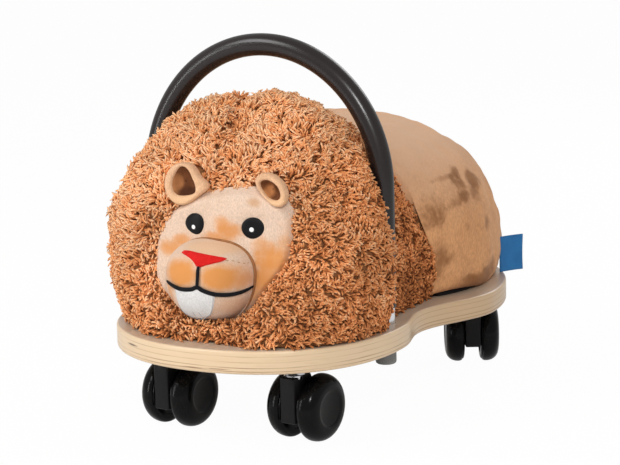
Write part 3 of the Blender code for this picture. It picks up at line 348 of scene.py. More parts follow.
def waves(points, length, seed, count=10):
    """Smooth noise between about -1 and 1 at each point, with bumps of about the given length."""
    rng = np.random.default_rng(seed)
    turns = unit(rng.normal(size=(count, 3))) * (2 * np.pi / length) * rng.uniform(0.6, 1.5, size=(count, 1))
    phases = rng.uniform(0, 2 * np.pi, count)
    return np.sin(points @ turns.T + phases).sum(axis=1) / math.sqrt(count / 2) * 0.7


def softened(values, rounds):
    """Evens out a closed row of values."""
    for _ in range(rounds):
        values = (np.roll(values, 1) + 2 * values + np.roll(values, -1)) / 4
    return values


# Meshes

def link(name, mesh, *materials):
    obj = bpy.data.objects.new(name, mesh)
    bpy.context.scene.collection.objects.link(obj)
    for material in materials:
        mesh.materials.append(material)
    return obj


def settle(obj, slot, *nodes, body="ride_on", fill=None):
    """Hides the nodes that a piece stands for and hangs the piece from its body. Its slot and how full a soft
    one is are not used.
    """
    if nodes:
        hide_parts(*nodes)
    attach(obj, body)


def mesh_of(bm, name, smooth=True):
    bmesh.ops.recalc_face_normals(bm, faces=bm.faces)
    mesh = bpy.data.meshes.new(name)
    bm.to_mesh(mesh)
    bm.free()
    if smooth:
        mesh.shade_smooth()
    return mesh


def mesh_of_triangles(name, points, triangles, **values):
    """A mesh from arrays of points and corner numbers, with a float attribute for each named value."""
    mesh = bpy.data.meshes.new(name)
    mesh.vertices.add(len(points))
    mesh.vertices.foreach_set("co", np.ascontiguousarray(points, dtype=np.float32).ravel())
    mesh.loops.add(triangles.size)
    mesh.loops.foreach_set("vertex_index", np.ascontiguousarray(triangles, dtype=np.int32).ravel())
    mesh.polygons.add(len(triangles))
    mesh.polygons.foreach_set("loop_start", np.arange(0, triangles.size, 3, dtype=np.int32))
    mesh.update(calc_edges=True)
    mesh.validate()
    for label, value in values.items():
        layer = mesh.attributes.new(label, "FLOAT", "POINT")
        layer.data.foreach_set("value", np.ascontiguousarray(value, dtype=np.float32))
    mesh.shade_smooth()
    return mesh


def grid_mesh(name, grid, closed_rows=True, caps=True, looped=False):
    """Skins an array of rows by columns by three. Where it is looped, its last row joins its first."""
    columns = grid.shape[1]
    bm = bmesh.new()
    verts = [[bm.verts.new(point) for point in row] for row in grid]
    for row, following in zip(verts, verts[1:] + verts[:looped]):
        for index in range(columns if closed_rows else columns - 1):
            ahead = (index + 1) % columns
            bm.faces.new((row[index], row[ahead], following[ahead], following[index]))
    if caps:
        bm.faces.new(verts[0])
        bm.faces.new(verts[-1])
    return mesh_of(bm, name)


def modify(obj, kind, **settings):
    """Adds a modifier to an object and applies it."""
    modifier = obj.modifiers.new(kind.lower(), kind)
    for label, value in settings.items():
        setattr(modifier, label, value)
    graph = bpy.context.evaluated_depsgraph_get()
    mesh = bpy.data.meshes.new_from_object(obj.evaluated_get(graph))
    obj.modifiers.clear()
    obj.data = mesh


def bevel(obj, width, segments, degrees=40):
    angle = math.radians(degrees)
    modify(obj, "BEVEL", width=width, segments=segments, limit_method="ANGLE", angle_limit=angle)


def shade(obj, degrees):
    """Smooth shading, but for edges that turn by more than an angle."""
    obj.data.shade_smooth()
    obj.data.set_sharp_from_angle(angle=math.radians(degrees))


def prism(name, points, low, high):
    bm = bmesh.new()
    base = bm.faces.new([bm.verts.new((x, y, low)) for x, y in points])
    grown = bmesh.ops.extrude_face_region(bm, geom=[base])
    lifted = [item for item in grown["geom"] if isinstance(item, bmesh.types.BMVert)]
    bmesh.ops.translate(bm, verts=lifted, vec=(0.0, 0.0, high - low))
    return mesh_of(bm, name, smooth=False)


def turned(name, profile, sides):
    """Revolves a row of (radius, height) points about Z."""
    angles = np.linspace(0.0, 2 * np.pi, sides, endpoint=False)
    bm = bmesh.new()
    rows = []
    for radius, height in profile:
        around = angles if radius else angles[:1]
        rows.append([bm.verts.new((radius * np.cos(a), radius * np.sin(a), height)) for a in around])
    for row, following in zip(rows, rows[1:]):
        for index in range(sides):
            ahead = (index + 1) % sides
            corners = [row[index % len(row)], row[ahead % len(row)]]
            corners += [following[ahead % len(following)], following[index % len(following)]]
            corners = list(dict.fromkeys(corners))
            if len(corners) > 2:
                bm.faces.new(corners)
    mesh = mesh_of(bm, name)
    mesh.set_sharp_from_angle(angle=math.radians(35))
    return mesh


def swept(name, points, radii, sides, flat=1.0, up=(0.0, 1.0, 0.0)):
    """Sweeps an oval section along points, with its flat side turned to `up`."""
    points = np.asarray(points, dtype=float)
    radii = np.broadcast_to(np.asarray(radii, dtype=float), (len(points),))[:, None, None]
    ahead = unit(np.gradient(points, axis=0))
    across = unit(np.cross(up, ahead))
    rise = np.cross(ahead, across)
    angles = np.linspace(0.0, 2 * np.pi, sides, endpoint=False)[None, :, None]
    return grid_mesh(name, points[:, None] + radii * (
        across[:, None] * np.cos(angles) + flat * rise[:, None] * np.sin(angles)
    ))


# Shapes that follow the frame

def super_quarter(power, steps):
    angle = np.linspace(0.0, np.pi / 2, steps + 1)
    return np.stack([np.cos(angle).clip(0) ** (2 / power), np.sin(angle).clip(0) ** (2 / power)], axis=1)


def read_shares(table, place, column):
    """Reads a column of a table smoothly at a place along it."""
    place = min(max(place, table[0][0]), table[-1][0])
    row = 0
    while row < len(table) - 2 and place > table[row + 1][0]:
        row += 1
    before = max(row - 1, 0)
    after = min(row + 2, len(table) - 1)
    start, end = table[row], table[row + 1]
    run = end[0] - start[0]
    start_slope = (end[column] - table[before][column]) / (end[0] - table[before][0])
    end_slope = (table[after][column] - start[column]) / (table[after][0] - start[0])
    t = (place - start[0]) / run
    return (
        (2 * t**3 - 3 * t**2 + 1) * start[column]
        + (t**3 - 2 * t**2 + t) * run * start_slope
        + (3 * t**2 - 2 * t**3) * end[column]
        + (t**3 - t**2) * run * end_slope
    )


def board_outline():
    front, waist, rear = FRONT_LOBE_WIDTH / 2, WAIST_WIDTH / 2, BOARD_WIDTH / 2
    front_y = FRONT_TIP_Y + FRONT_LOBE_REACH
    waist_y = front_y + WAIST_RUN
    rear_y = REAR_Y - REAR_LOBE_REACH
    lobe = super_quarter(FRONT_LOBE_POWER, 40)[:0:-1]
    half = [(front * w, front_y - FRONT_LOBE_REACH * r) for w, r in lobe]
    half[0] = (0.0, FRONT_TIP_Y)
    flanks = ((front, waist, front_y, waist_y, 16), (waist, rear, waist_y, rear_y, 32))
    for start, end, low, high, steps in flanks:
        for step in range(steps):
            swing = 0.5 - 0.5 * math.cos(math.pi * step / steps)
            half.append((start + (end - start) * swing, low + (high - low) * step / steps))
    half += [(rear * w, rear_y + REAR_LOBE_REACH * r) for w, r in super_quarter(REAR_LOBE_POWER, 40)]
    half[-1] = (0.0, REAR_Y)
    return half + [(-x, y) for x, y in half[-2:0:-1]]


def hoop_path(foot, steps=96):
    half = HOOP_WIDTH / 2
    legs = np.linspace(foot, HOOP_SPRING, 12, endpoint=False)
    points = [(half, HOOP_Y, z) for z in legs]
    for angle in np.linspace(0.0, math.pi, steps + 1):
        points.append((half * math.cos(angle), HOOP_Y, HOOP_SPRING + HOOP_RISE * math.sin(angle)))
    return np.array(points + [(-half, HOOP_Y, z) for z in legs[::-1]])


def hoop_inside(z):
    """Half the room between the hoop's legs at a height."""
    rise = np.clip((z - HOOP_SPRING) / HOOP_RISE, 0.0, 1.0)
    return HOOP_WIDTH / 2 * np.sqrt(1.0 - rise**2) - SLEEVE_RADIUS


def section(half_width, height, power, foot, flank_steps=10, crown_steps=44):
    """Right half of a stuffed cross-section as (x, z), from its foot up the flank to the crown."""
    widest = REST_LEVEL + height * WIDEST_SHARE
    climb = np.linspace(0.0, 1.0, flank_steps, endpoint=False)
    flank = half_width * (1.0 - (1.0 - FOOT_SHARE) * (1.0 - climb) ** 2)
    low = np.stack([flank, foot + (widest - foot) * climb], axis=1)
    up = super_quarter(power, crown_steps)
    high = np.stack([half_width * up[:, 0], widest + (REST_LEVEL + height - widest) * up[:, 1]], axis=1)
    high[-1, 0] = 0.0
    return np.concatenate([low, high])


def whole_ring(half, other, y):
    """A closed ring from its halves on the lion's left and right."""
    left = np.stack([half[:, 0], np.full(len(half), y), half[:, 1]], axis=1)
    right = np.stack([-other[:, 0], np.full(len(other), y), other[:, 1]], axis=1)
    left[-1] = (left[-1] + right[-1]) / 2
    return np.concatenate([left, right[-2::-1]])


def size_at(table, place, width, height):
    """Half width and height at a place along a form, from its table of shares."""
    return width / 2 * read_shares(table, place, 1), height * read_shares(table, place, 2)


def mane_size(y):
    """Half width and height of the mane at a Y."""
    return size_at(MANE_SHARES, (y - MANE_FRONT_Y) / MANE_LENGTH, HEAD_WIDTH, HEAD_HEIGHT)


def body_size(y):
    """Half width and height of the body at a Y."""
    place = (y - BODY_FRONT_Y) / (BODY_REAR_Y - BODY_FRONT_Y)
    return size_at(BODY_SHARES, place, BODY_WIDTH, BODY_HEIGHT)


def seam_slant(z):
    """How far in front of its foot the seam between mane and body lies at each height."""
    return SEAM_LEAN * smooth_step(z, 0.088, 0.150)


def over_muzzle(x, z, stand_off):
    """Points that stand off the muzzle's skin at (x, z), square to it, and the way they stand off."""
    x, z = np.broadcast_arrays(np.asarray(x, dtype=float), np.asarray(z, dtype=float))
    height = np.where(z > MUZZLE_Z, MUZZLE_RISE, MUZZLE_DROP)
    wide, high = (x - MUZZLE_X) / MUZZLE_HALF_WIDTH, (z - MUZZLE_Z) / height
    reach = np.abs(wide) ** MUZZLE_POWER + np.abs(high) ** MUZZLE_POWER
    y = MUZZLE_BACK_Y - MUZZLE_DEPTH * np.clip(1.0 - reach, 0.0, None) ** (1 / MUZZLE_POWER)
    power = MUZZLE_POWER - 1
    out = np.stack([
        signed_power(wide, power) / MUZZLE_HALF_WIDTH,
        signed_power((y - MUZZLE_BACK_Y) / MUZZLE_DEPTH, power) / MUZZLE_DEPTH,
        signed_power(high, power) / height,
    ], axis=-1)
    out /= np.linalg.norm(out, axis=-1, keepdims=True)
    return np.stack([x, y, z], axis=-1) + out * stand_off, out


def smooth_line(rows, steps):
    """Reads an open row of points in millimetres smoothly at evenly spaced steps, in metres."""
    rows = np.array(rows, dtype=float) / 1000
    rows = np.concatenate([2 * rows[:1] - rows[1:2], rows, 2 * rows[-1:] - rows[-2:-1]])
    places = np.linspace(0, len(rows) - 3, steps)
    base = np.minimum(np.floor(places).astype(int), len(rows) - 4)
    t = (places - base)[:, None]
    before, start, end, after = (rows[base + shift] for shift in range(4))
    return 0.5 * (
        2 * start + (end - before) * t + (2 * before - 5 * start + 4 * end - after) * t**2
        + (3 * start - before - 3 * end + after) * t**3
    )


def height_along(rows, x):
    """Height of a row of (x, z) points at each x, in metres."""
    return np.interp(x, *smooth_line(rows, 200).T)


# Materials

class Wiring:
    """Adds shader nodes to one tree and joins them."""

    def __init__(self, tree):
        self.tree = tree

    def add(self, kind, inputs=None, **settings):
        node = self.tree.nodes.new(f"ShaderNode{kind}")
        for label, value in settings.items():
            setattr(node, label, value)
        for label, value in (inputs or {}).items():
            self.feed(node.inputs[label], value)
        return node

    def feed(self, socket, value):
        if isinstance(value, bpy.types.NodeSocket):
            self.tree.links.new(value, socket)
        elif socket.type == "RGBA" and len(value) == 3:
            socket.default_value = (*value, 1.0)
        else:
            socket.default_value = value

    def place(self):
        return self.add("TexCoord").outputs["Object"]

    def noise(self, vector, scale, detail=3.0, roughness=0.5, distortion=0.0):
        settings = {"Scale": scale, "Detail": detail, "Roughness": roughness, "Distortion": distortion}
        return self.add("TexNoise", {**settings, "Vector": vector}).outputs["Fac"]

    def math(self, operation, *values):
        node = self.add("Math", operation=operation)
        for socket, value in zip(node.inputs, values):
            self.feed(socket, value)
        return node.outputs[0]

    def times(self, first, second):
        return self.math("MULTIPLY", first, second)

    def most(self, first, second):
        return self.math("MAXIMUM", first, second)

    def span(self, value, low, high, new_low=0.0, new_high=1.0, kind="SMOOTHSTEP"):
        settings = {"Value": value, "From Min": low, "From Max": high, "To Min": new_low, "To Max": new_high}
        return self.add("MapRange", settings, interpolation_type=kind).outputs["Result"]

    def mix(self, share, first, second, blend="MIX"):
        node = self.add("Mix", data_type="RGBA", blend_type=blend)
        for number, value in ((0, share), (6, first), (7, second)):
            self.feed(node.inputs[number], value)
        return node.outputs[2]

    def toned(self, colour, tone):
        """A colour made darker or lighter by a value."""
        grey = self.add("CombineColor", {"Red": tone, "Green": tone, "Blue": tone}).outputs["Color"]
        return self.mix(1.0, colour, grey, "MULTIPLY")

    def ramp(self, value, stops):
        node = self.add("ValToRGB", {"Fac": value})
        while len(node.color_ramp.elements) < len(stops):
            node.color_ramp.elements.new(0.5)
        for element, (position, colour) in zip(node.color_ramp.elements, stops):
            element.position = position
            element.color = (*colour, 1.0)
        return node.outputs["Color"]

    def stretch(self, vector, scale):
        return self.add("Mapping", {"Vector": vector, "Scale": scale}).outputs["Vector"]

    def vector_math(self, operation, *values):
        return self.add("VectorMath", dict(enumerate(values)), operation=operation).outputs

    def group(self, group, **inputs):
        inputs = {label.title(): value for label, value in inputs.items()}
        node = self.add("Group", node_tree=group)
        for label, value in inputs.items():
            self.feed(node.inputs[label], value)
        return node.outputs

    def patched(self, colour, patches):
        """Lays soft patches over a colour."""
        for tint, x, y, z, wide, long, high, strength, ragged, soft in patches:
            centre = (x / 1000, y / 1000, z / 1000)
            radii = (wide / 1000, long / 1000, high / 1000)
            mask = self.group(PATCH, centre=centre, radii=radii, ragged=ragged, soft=soft)["Mask"]
            colour = self.mix(self.times(mask, strength), colour, tint)
        return colour


def new_group(name, inputs, outputs):
    """An empty shader node group with inputs by name and default value, and with outputs by name and kind."""
    group = bpy.data.node_groups.new(name, "ShaderNodeTree")
    for label, default in inputs.items():
        kind = {1: "Float", 3: "Vector", 4: "Color"}[np.size(default)]
        socket = group.interface.new_socket(label, in_out="INPUT", socket_type=f"NodeSocket{kind}")
        socket.default_value = default
    for label, kind in outputs.items():
        group.interface.new_socket(label, in_out="OUTPUT", socket_type=f"NodeSocket{kind}")
    given, result = group.nodes.new("NodeGroupInput").outputs, group.nodes.new("NodeGroupOutput").inputs
    return group, Wiring(group), given, result


def make_patch_group():
    """One soft patch about a place, with a ragged outline."""
    group, wires, given, result = new_group(
        "soft patch",
        {"Centre": (0.0, 0.0, 0.0), "Radii": (0.01, 0.01, 0.01), "Ragged": 0.3, "Grain": 90.0, "Soft": 0.6},
        {"Mask": "Float"},
    )
    place = wires.place()
    offset = wires.vector_math("SUBTRACT", place, given["Centre"])["Vector"]
    shares = wires.vector_math("DIVIDE", offset, given["Radii"])["Vector"]
    reach = wires.vector_math("LENGTH", shares)["Value"]
    ragged = wires.math("SUBTRACT", wires.noise(place, given["Grain"], 3.0, 0.6), 0.5)
    reach = wires.math("MULTIPLY_ADD", ragged, wires.times(given["Ragged"], 4.0), reach)
    inner, outer = wires.math("SUBTRACT", 1.0, given["Soft"]), wires.math("ADD", 1.0, given["Soft"])
    wires.feed(result["Mask"], wires.span(reach, inner, outer, 1.0, 0.0))
    return group


def make_nap_group():
    """Short pile that has been stroked both ways: cloudy light and shade with a fine grain."""
    group, wires, given, result = new_group(
        "stroked nap",
        {
            "Light": (0.7, 0.5, 0.3, 1.0), "Dark": (0.4, 0.25, 0.12, 1.0), "Size": 30.0, "Fibre": 900.0,
            "Amount": 0.5,
        },
        {"Color": "Color", "Height": "Float"},
    )
    place = wires.place()
    cloud = wires.span(wires.noise(place, given["Size"], 4.0, 0.55, 0.6), 0.38, 0.72)
    base = wires.mix(wires.times(cloud, given["Amount"]), given["Light"], given["Dark"])
    fibre = wires.noise(wires.stretch(place, (1.0, 1.0, 0.45)), given["Fibre"], 2.0, 0.6)
    wires.feed(result["Color"], wires.toned(base, wires.span(fibre, 0.3, 0.7, 0.86, 1.08)))
    wires.feed(result["Height"], fibre)
    return group


def make_scuff_group():
    """Dust and fine scratches on a moulded or coated surface."""
    group, wires, given, result = new_group(
        "scuffs",
        {
            "Base": (0.02, 0.02, 0.02, 1.0), "Dust": (0.2, 0.2, 0.2, 1.0), "Amount": 0.1, "Rough": 0.3,
            "Spread": 0.08,
        },
        {"Color": "Color", "Roughness": "Float", "Height": "Float"},
    )
    place = wires.place()
    smear = wires.noise(place, 70.0, 5.0, 0.6, 0.4)
    speck = wires.noise(place, 1400.0, 2.0, 0.5)
    dust = wires.times(wires.span(wires.times(smear, speck), 0.24, 0.42), given["Amount"])
    wires.feed(result["Color"], wires.mix(dust, given["Base"], given["Dust"]))
    spread = wires.times(wires.span(smear, 0.35, 0.7), given["Spread"])
    wires.feed(result["Roughness"], wires.math("ADD", given["Rough"], spread))
    wires.feed(result["Height"], speck)
    return group


PATCH = make_patch_group()
NAP = make_nap_group()
SCUFFS = make_scuff_group()


def new_material(name, roughness, **constants):
    material = bpy.data.materials.new(name)
    material.use_nodes = True
    shader = material.node_tree.nodes["Principled BSDF"].inputs
    shader["Roughness"].default_value = roughness
    for label, value in constants.items():
        shader[label.replace("_", " ")].default_value = value
    return material, Wiring(material.node_tree), shader


def bump(wires, shader, height, strength, distance):
    node = wires.add("Bump", {"Height": height, "Strength": strength, "Distance": distance})
    wires.feed(shader["Normal"], node.outputs["Normal"])


def plush(name, light, dark, size, amount, fibre, pile, sheen, patches=()):
    """Short pile, which may have airbrushed or crushed patches and patches of painted light and shade."""
    material, wires, shader = new_material(
        name, 0.95, Sheen_Weight=sheen, Sheen_Roughness=0.45, Sheen_Tint=(1.0, 0.9, 0.78, 1.0),
        Specular_IOR_Level=0.2,
    )
    nap = wires.group(NAP, light=light, dark=dark, size=size, amount=amount, fibre=fibre)
    wires.feed(shader["Base Color"], wires.patched(nap["Color"], patches))
    bump(wires, shader, nap["Height"], 0.6, pile)
    return material


def plastic(name, base, dust, rough, amount, spread, grain=0.0, **constants):
    material, wires, shader = new_material(name, rough, **constants)
    scuffs = wires.group(SCUFFS, base=base, dust=dust, amount=amount, rough=rough, spread=spread)
    wires.feed(shader["Base Color"], scuffs["Color"])
    wires.feed(shader["Roughness"], scuffs["Roughness"])
    if grain:
        bump(wires, shader, scuffs["Height"], grain, 0.0002)
    return material


def make_fur_material():
    """Curled pile: dark at the root, painted shade between the locks, warm along its length and pale at the
    tip, partly a painted highlight.
    """
    material, wires, shader = new_material(
        "curled pile", 0.7, Sheen_Weight=0.05, Sheen_Roughness=0.4, Sheen_Tint=(1.0, 0.7, 0.45, 1.0),
        Specular_IOR_Level=0.07,
    )
    along, lock = (wires.add("Attribute", attribute_name=label).outputs["Fac"] for label in ("along", "lock"))
    # Each lock's tone, which carries painted light and shade, moves it along the ramp
    lean = wires.math("MULTIPLY_ADD", wires.math("SUBTRACT", lock, 0.5), 0.9, along)
    place = wires.place()
    cloud = wires.span(wires.noise(place, 26.0), 0.35, 0.7, 0.88, 1.08)
    wires.feed(shader["Base Color"], wires.toned(wires.ramp(lean, PILE_STOPS_WITH_PAINTED_LIGHT), cloud))
    bump(wires, shader, wires.noise(place, 2600.0, 2.0, 0.6), 0.2, 0.0001)
    return material


def make_plywood():
    """Clear-varnished birch: long grain on the faces, thin glue lines round the edge."""
    material, wires, shader = new_material(
        "varnished birch plywood", 0.38, Coat_Weight=0.25, Coat_Roughness=0.18
    )
    place = wires.place()
    grain = wires.noise(wires.stretch(place, (3.0, 0.35, 1.0)), 40.0, 6.0, 0.62, 0.8)
    fine = wires.noise(wires.stretch(place, (1.0, 0.05, 1.0)), 420.0, 3.0, 0.55)
    face = wires.ramp(grain, FACE_GRAIN_AND_SHADE)
    face = wires.mix(wires.span(fine, 0.35, 0.7, 0.0, 0.22), face, (0.46, 0.34, 0.23))
    parts = wires.add("SeparateXYZ", {"Vector": place}).outputs
    wander = wires.math("SUBTRACT", wires.noise(place, 14.0, 2.0), 0.5)
    drift = wires.math("MULTIPLY_ADD", wander, 0.0018, parts["Z"])
    share = wires.span(drift, BOARD_FOOT, BOARD_TOP, kind="LINEAR")
    # The glue lines fade in and out along the front, a painted highlight there, and show in full at the
    # waist; they are paler near the top of the edge, also a painted highlight
    bare = wires.span(wires.noise(place, 21.0, 2.0), 0.36, 0.62, 0.25, 1.0)
    bare = wires.most(bare, wires.span(parts["Y"], -0.090, -0.030))
    strength = wires.times(bare, wires.span(share, 0.30, 0.52, 1.0, 0.60))
    plies = wires.mix(strength, WARM_PLY, wires.ramp(share, PLY_STOPS))
    streak = wires.noise(wires.stretch(place, (0.25, 0.25, 3.0)), 240.0, 3.0, 0.6)
    plies = wires.mix(wires.span(streak, 0.45, 0.8, 0.0, 0.30), plies, (0.60, 0.40, 0.22))
    # Painted shade: the edge turns darker and warmer towards the waist, under the overhanging pile
    plies = wires.mix(wires.span(parts["Y"], -0.120, 0.010, 0.0, 0.55), plies, (0.47, 0.285, 0.135))
    plies = wires.patched(plies, EDGE_MARKS)
    upright = wires.add("SeparateXYZ", {"Vector": wires.add("NewGeometry").outputs["Normal"]}).outputs["Z"]
    flat = wires.span(wires.math("ABSOLUTE", upright), 0.80, 0.97)
    wires.feed(shader["Base Color"], wires.mix(flat, plies, face))
    wires.feed(shader["Roughness"], wires.span(grain, 0.3, 0.7, 0.32, 0.46))
    bump(wires, shader, wires.math("ADD", grain, wires.times(streak, 0.5)), 0.25, 0.0004)
    return material


def make_tape():
    """Blue woven tape, with threads both ways."""
    material, wires, shader = new_material("blue woven tape", 0.7, Sheen_Weight=0.1)
    place = wires.place()
    weave, cross = (
        wires.add("TexWave", {"Scale": scale, "Distortion": 1.0, "Vector": place}, bands_direction=way)
        for scale, way in ((900.0, "Z"), (700.0, "X"))
    )
    threads = wires.times(weave.outputs["Fac"], cross.outputs["Fac"])
    cloud = wires.span(wires.noise(place, 60.0), 0.3, 0.7)
    colour = wires.mix(cloud, (0.004, 0.115, 0.33), (0.006, 0.15, 0.40))
    wires.feed(shader["Base Color"], wires.mix(wires.times(threads, 0.35), colour, (0.02, 0.24, 0.52)))
    bump(wires, shader, threads, 0.3, 0.0002)
    return material


FUR = make_fur_material()
PLYWOOD = make_plywood()
TAPE = make_tape()

# Hard finishes: colour, dust, roughness, amount of dust, spread of roughness and grain
SLEEVE = plastic(
    "sleeve foam rubber", (0.013, 0.0085, 0.0078), (0.020, 0.014, 0.013), 0.25, 0.1, 0.01,
    Specular_IOR_Level=0.42,
)
STEEL = plastic("plated steel", (0.60, 0.60, 0.62), (0.35, 0.34, 0.33), 0.25, 0.3, 0.15, Metallic=1.0)
CHROME = plastic("chromed steel", (0.75, 0.75, 0.77), (0.5, 0.5, 0.5), 0.12, 0.2, 0.08, Metallic=1.0)
BLACK_STEEL = plastic(
    "black enamelled steel", (0.010, 0.010, 0.011), (0.05, 0.05, 0.05), 0.35, 0.3, 0.1,
    Specular_IOR_Level=0.25,
)
GLOSS = plastic(
    "gloss black moulding", (0.0030, 0.0027, 0.0026), (0.02, 0.02, 0.02), 0.16, 0.08, 0.06,
    Specular_IOR_Level=0.12,
)
SATIN = plastic(
    "satin black moulding", (0.0075, 0.0068, 0.007), (0.03, 0.03, 0.03), 0.36, 0.12, 0.1, 0.25,
    Specular_IOR_Level=0.16,
)
GREY = plastic("grey moulding", (0.19, 0.185, 0.175), (0.30, 0.29, 0.28), 0.5, 0.4, 0.1, 0.3)
EYE_BLACK = plastic(
    "black eye", (0.006, 0.006, 0.007), (0.015, 0.015, 0.015), 0.40, 0.1, 0.05, Specular_IOR_Level=0.14
)
EYE_WHITE = plastic("painted dot", (0.86, 0.86, 0.86), (0.6, 0.6, 0.6), 0.4, 0.1, 0.05)

# Soft finishes: light, dark, size and amount of the clouds, fibre, height of the pile and sheen
TAN_PLUSH = plush("short tan plush", TAN, TAN_SHADE, 24.0, 0.55, 700.0, 0.0007, 0.12, BODY_PATCHES)
FACE_PLUSH = plush("cream face plush", CREAM, CREAM_SHADE, 45.0, 0.30, 1300.0, 0.0002, 0.12, FACE_PATCHES)
MUZZLE_PLUSH = plush("muzzle plush", CREAM, CREAM_SHADE, 50.0, 0.30, 1300.0, 0.0002, 0.12, MUZZLE_PATCHES)
EAR_PLUSH = plush(
    "ear plush", (0.74, 0.45, 0.27), (0.64, 0.35, 0.18), 70.0, 0.5, 1100.0, 0.0005, 0.10, EAR_PATCHES
)
# The lining is darkened further as painted shade for the hollow of the ear
EAR_LINING = plush(
    "ear lining", (0.165, 0.055, 0.019), (0.075, 0.024, 0.008), 60.0, 0.5, 1200.0, 0.0005, 0.05,
    LINING_PATCHES_AND_SHADE,
)
# Painted shade: the backing is dark brown so that the gaps between the locks look shaded
BACKING_PAINTED_SHADE = plush("mane backing in painted shade", (0.26, 0.105, 0.038), (0.17, 0.065, 0.022), 80.0, 0.6, 900.0, 0.0008, 0.05)
# Painted shade for the join of the muzzle and the face
MUZZLE_JOIN_SHADE = plush("muzzle join shade", (0.34, 0.150, 0.060), (0.24, 0.095, 0.035), 200.0, 0.5, 1500.0, 0.0003, 0.05)
BLACK_FELT = plush(
    "black underlay felt", (0.010, 0.010, 0.011), (0.004,) * 3, 60.0, 0.6, 1500.0, 0.0004, 0.05
)
WHITE_FELT = plush("white felt", (0.72, 0.70, 0.68), (0.64, 0.62, 0.61), 80.0, 0.4, 1400.0, 0.0003, 0.05)
RED_FELT = plush(
    "red satin stitch", (0.66, 0.014, 0.012), (0.50, 0.007, 0.006), 120.0, 0.5, 1800.0, 0.0003, 0.05
)
THREAD = plush(
    "black satin stitch", (0.008, 0.008, 0.010), (0.003, 0.003, 0.004), 300.0, 0.5, 2600.0, 0.0003, 0.03
)
GREY_THREAD = plush(
    "grey stitching", (0.46, 0.45, 0.44), (0.34, 0.33, 0.33), 300.0, 0.5, 2600.0, 0.0002, 0.05
)
TAN_THREAD = plush("tan stitching", (0.46, 0.27, 0.14), (0.30, 0.16, 0.08), 300.0, 0.5, 2600.0, 0.0002, 0.05)


# Rigid pieces

def make_board():
    board = link("board", prism("board", board_outline(), BOARD_UNDERSIDE, BOARD_TOP), PLYWOOD)
    bevel(board, BOARD_EDGE_RADIUS, 6)
    radius = TUBE_RADIUS + CLEARANCE
    for side in SIDES.values():
        place = Matrix.Translation((side * HOOP_WIDTH / 2, HOOP_Y, (BOARD_FOOT + BOARD_TOP) / 2))
        hole = bmesh.new()
        bmesh.ops.create_cone(
            hole, cap_ends=True, segments=48, radius1=radius, radius2=radius, depth=0.03, matrix=place
        )
        cutter = link("leg_hole", mesh_of(hole, "leg hole", smooth=False))
        modify(board, "BOOLEAN", object=cutter)
        bpy.data.objects.remove(cutter, do_unlink=True)
    shade(board, 38)
    settle(board, "plywood", "base_board")


def make_hoop():
    for name, foot, radius, finish, slot, node in (
        ("hoop_sleeve", SLEEVE_FOOT, SLEEVE_RADIUS, SLEEVE, "black_sleeve", "handle_grip"),
        ("hoop_tube", BOARD_FOOT, TUBE_RADIUS, CHROME, "steel", "handle_tube"),
    ):
        piece = link(name, swept(name, hoop_path(foot), radius, 40), finish)
        shade(piece, 40)
        settle(piece, slot, node)
    top = BOARD_FOOT - CLEARANCE
    profile = [
        (0.0, top), (0.0077, top), (0.0077, top - 0.0116), (0.0074, top - 0.0128), (0.0066, top - 0.0134),
        (0.0030, top - 0.0135), (0.0025, top - 0.0127), (0.0, top - 0.0127),
    ]
    for label, side in SIDES.items():
        cap = link(f"leg_cap_{label}", turned("leg_cap", profile, 48), GREY)
        cap.location = (side * HOOP_WIDTH / 2, HOOP_Y, 0.0)
        settle(cap, "grey_plastic", f"handle_cap_{label}")


def wheel_profile():
    """A domed wheel with a dished face and a parting line round its inner shoulder."""
    crown = WHEEL_WIDTH * 0.30
    inner = WHEEL_RADIUS * 0.82
    outer = WHEEL_RADIUS * 0.56
    dish = WHEEL_WIDTH - 0.0008
    profile = [(0.0, dish), (outer - 0.0022, dish), (outer - 0.0012, dish + 0.0003)]
    for width, rise in super_quarter(2.3, 18)[::-1]:
        profile.append((outer + (WHEEL_RADIUS - outer) * width, crown + (WHEEL_WIDTH - crown) * rise))
    low = [(inner + (WHEEL_RADIUS - inner) * w, crown - crown * r) for w, r in super_quarter(2.0, 8)[1:]]
    radius, level = low[3]
    profile += low[:3] + [(radius - 0.0004, level + 0.0002), (radius - 0.0004, level - 0.0003)] + low[4:]
    profile += [(WHEEL_RADIUS * 0.74, 0.0), (WHEEL_RADIUS * 0.72, 0.0009), (0.0058, 0.0009), (0.0052, 0.0)]
    return profile + [(0.0, 0.0)]


def housing_outline():
    points = [(-0.0085, HOUSING_TOP), (-0.0085, 0.0165)]
    for angle in np.radians(np.linspace(-105, 45, 26)):
        across, up = HEEL_RADIUS * math.cos(angle), HEEL_RADIUS * math.sin(angle)
        points.append((CASTER_TRAIL + across, AXLE_LEVEL + up))
    return points + [(0.013, HOUSING_TOP)]


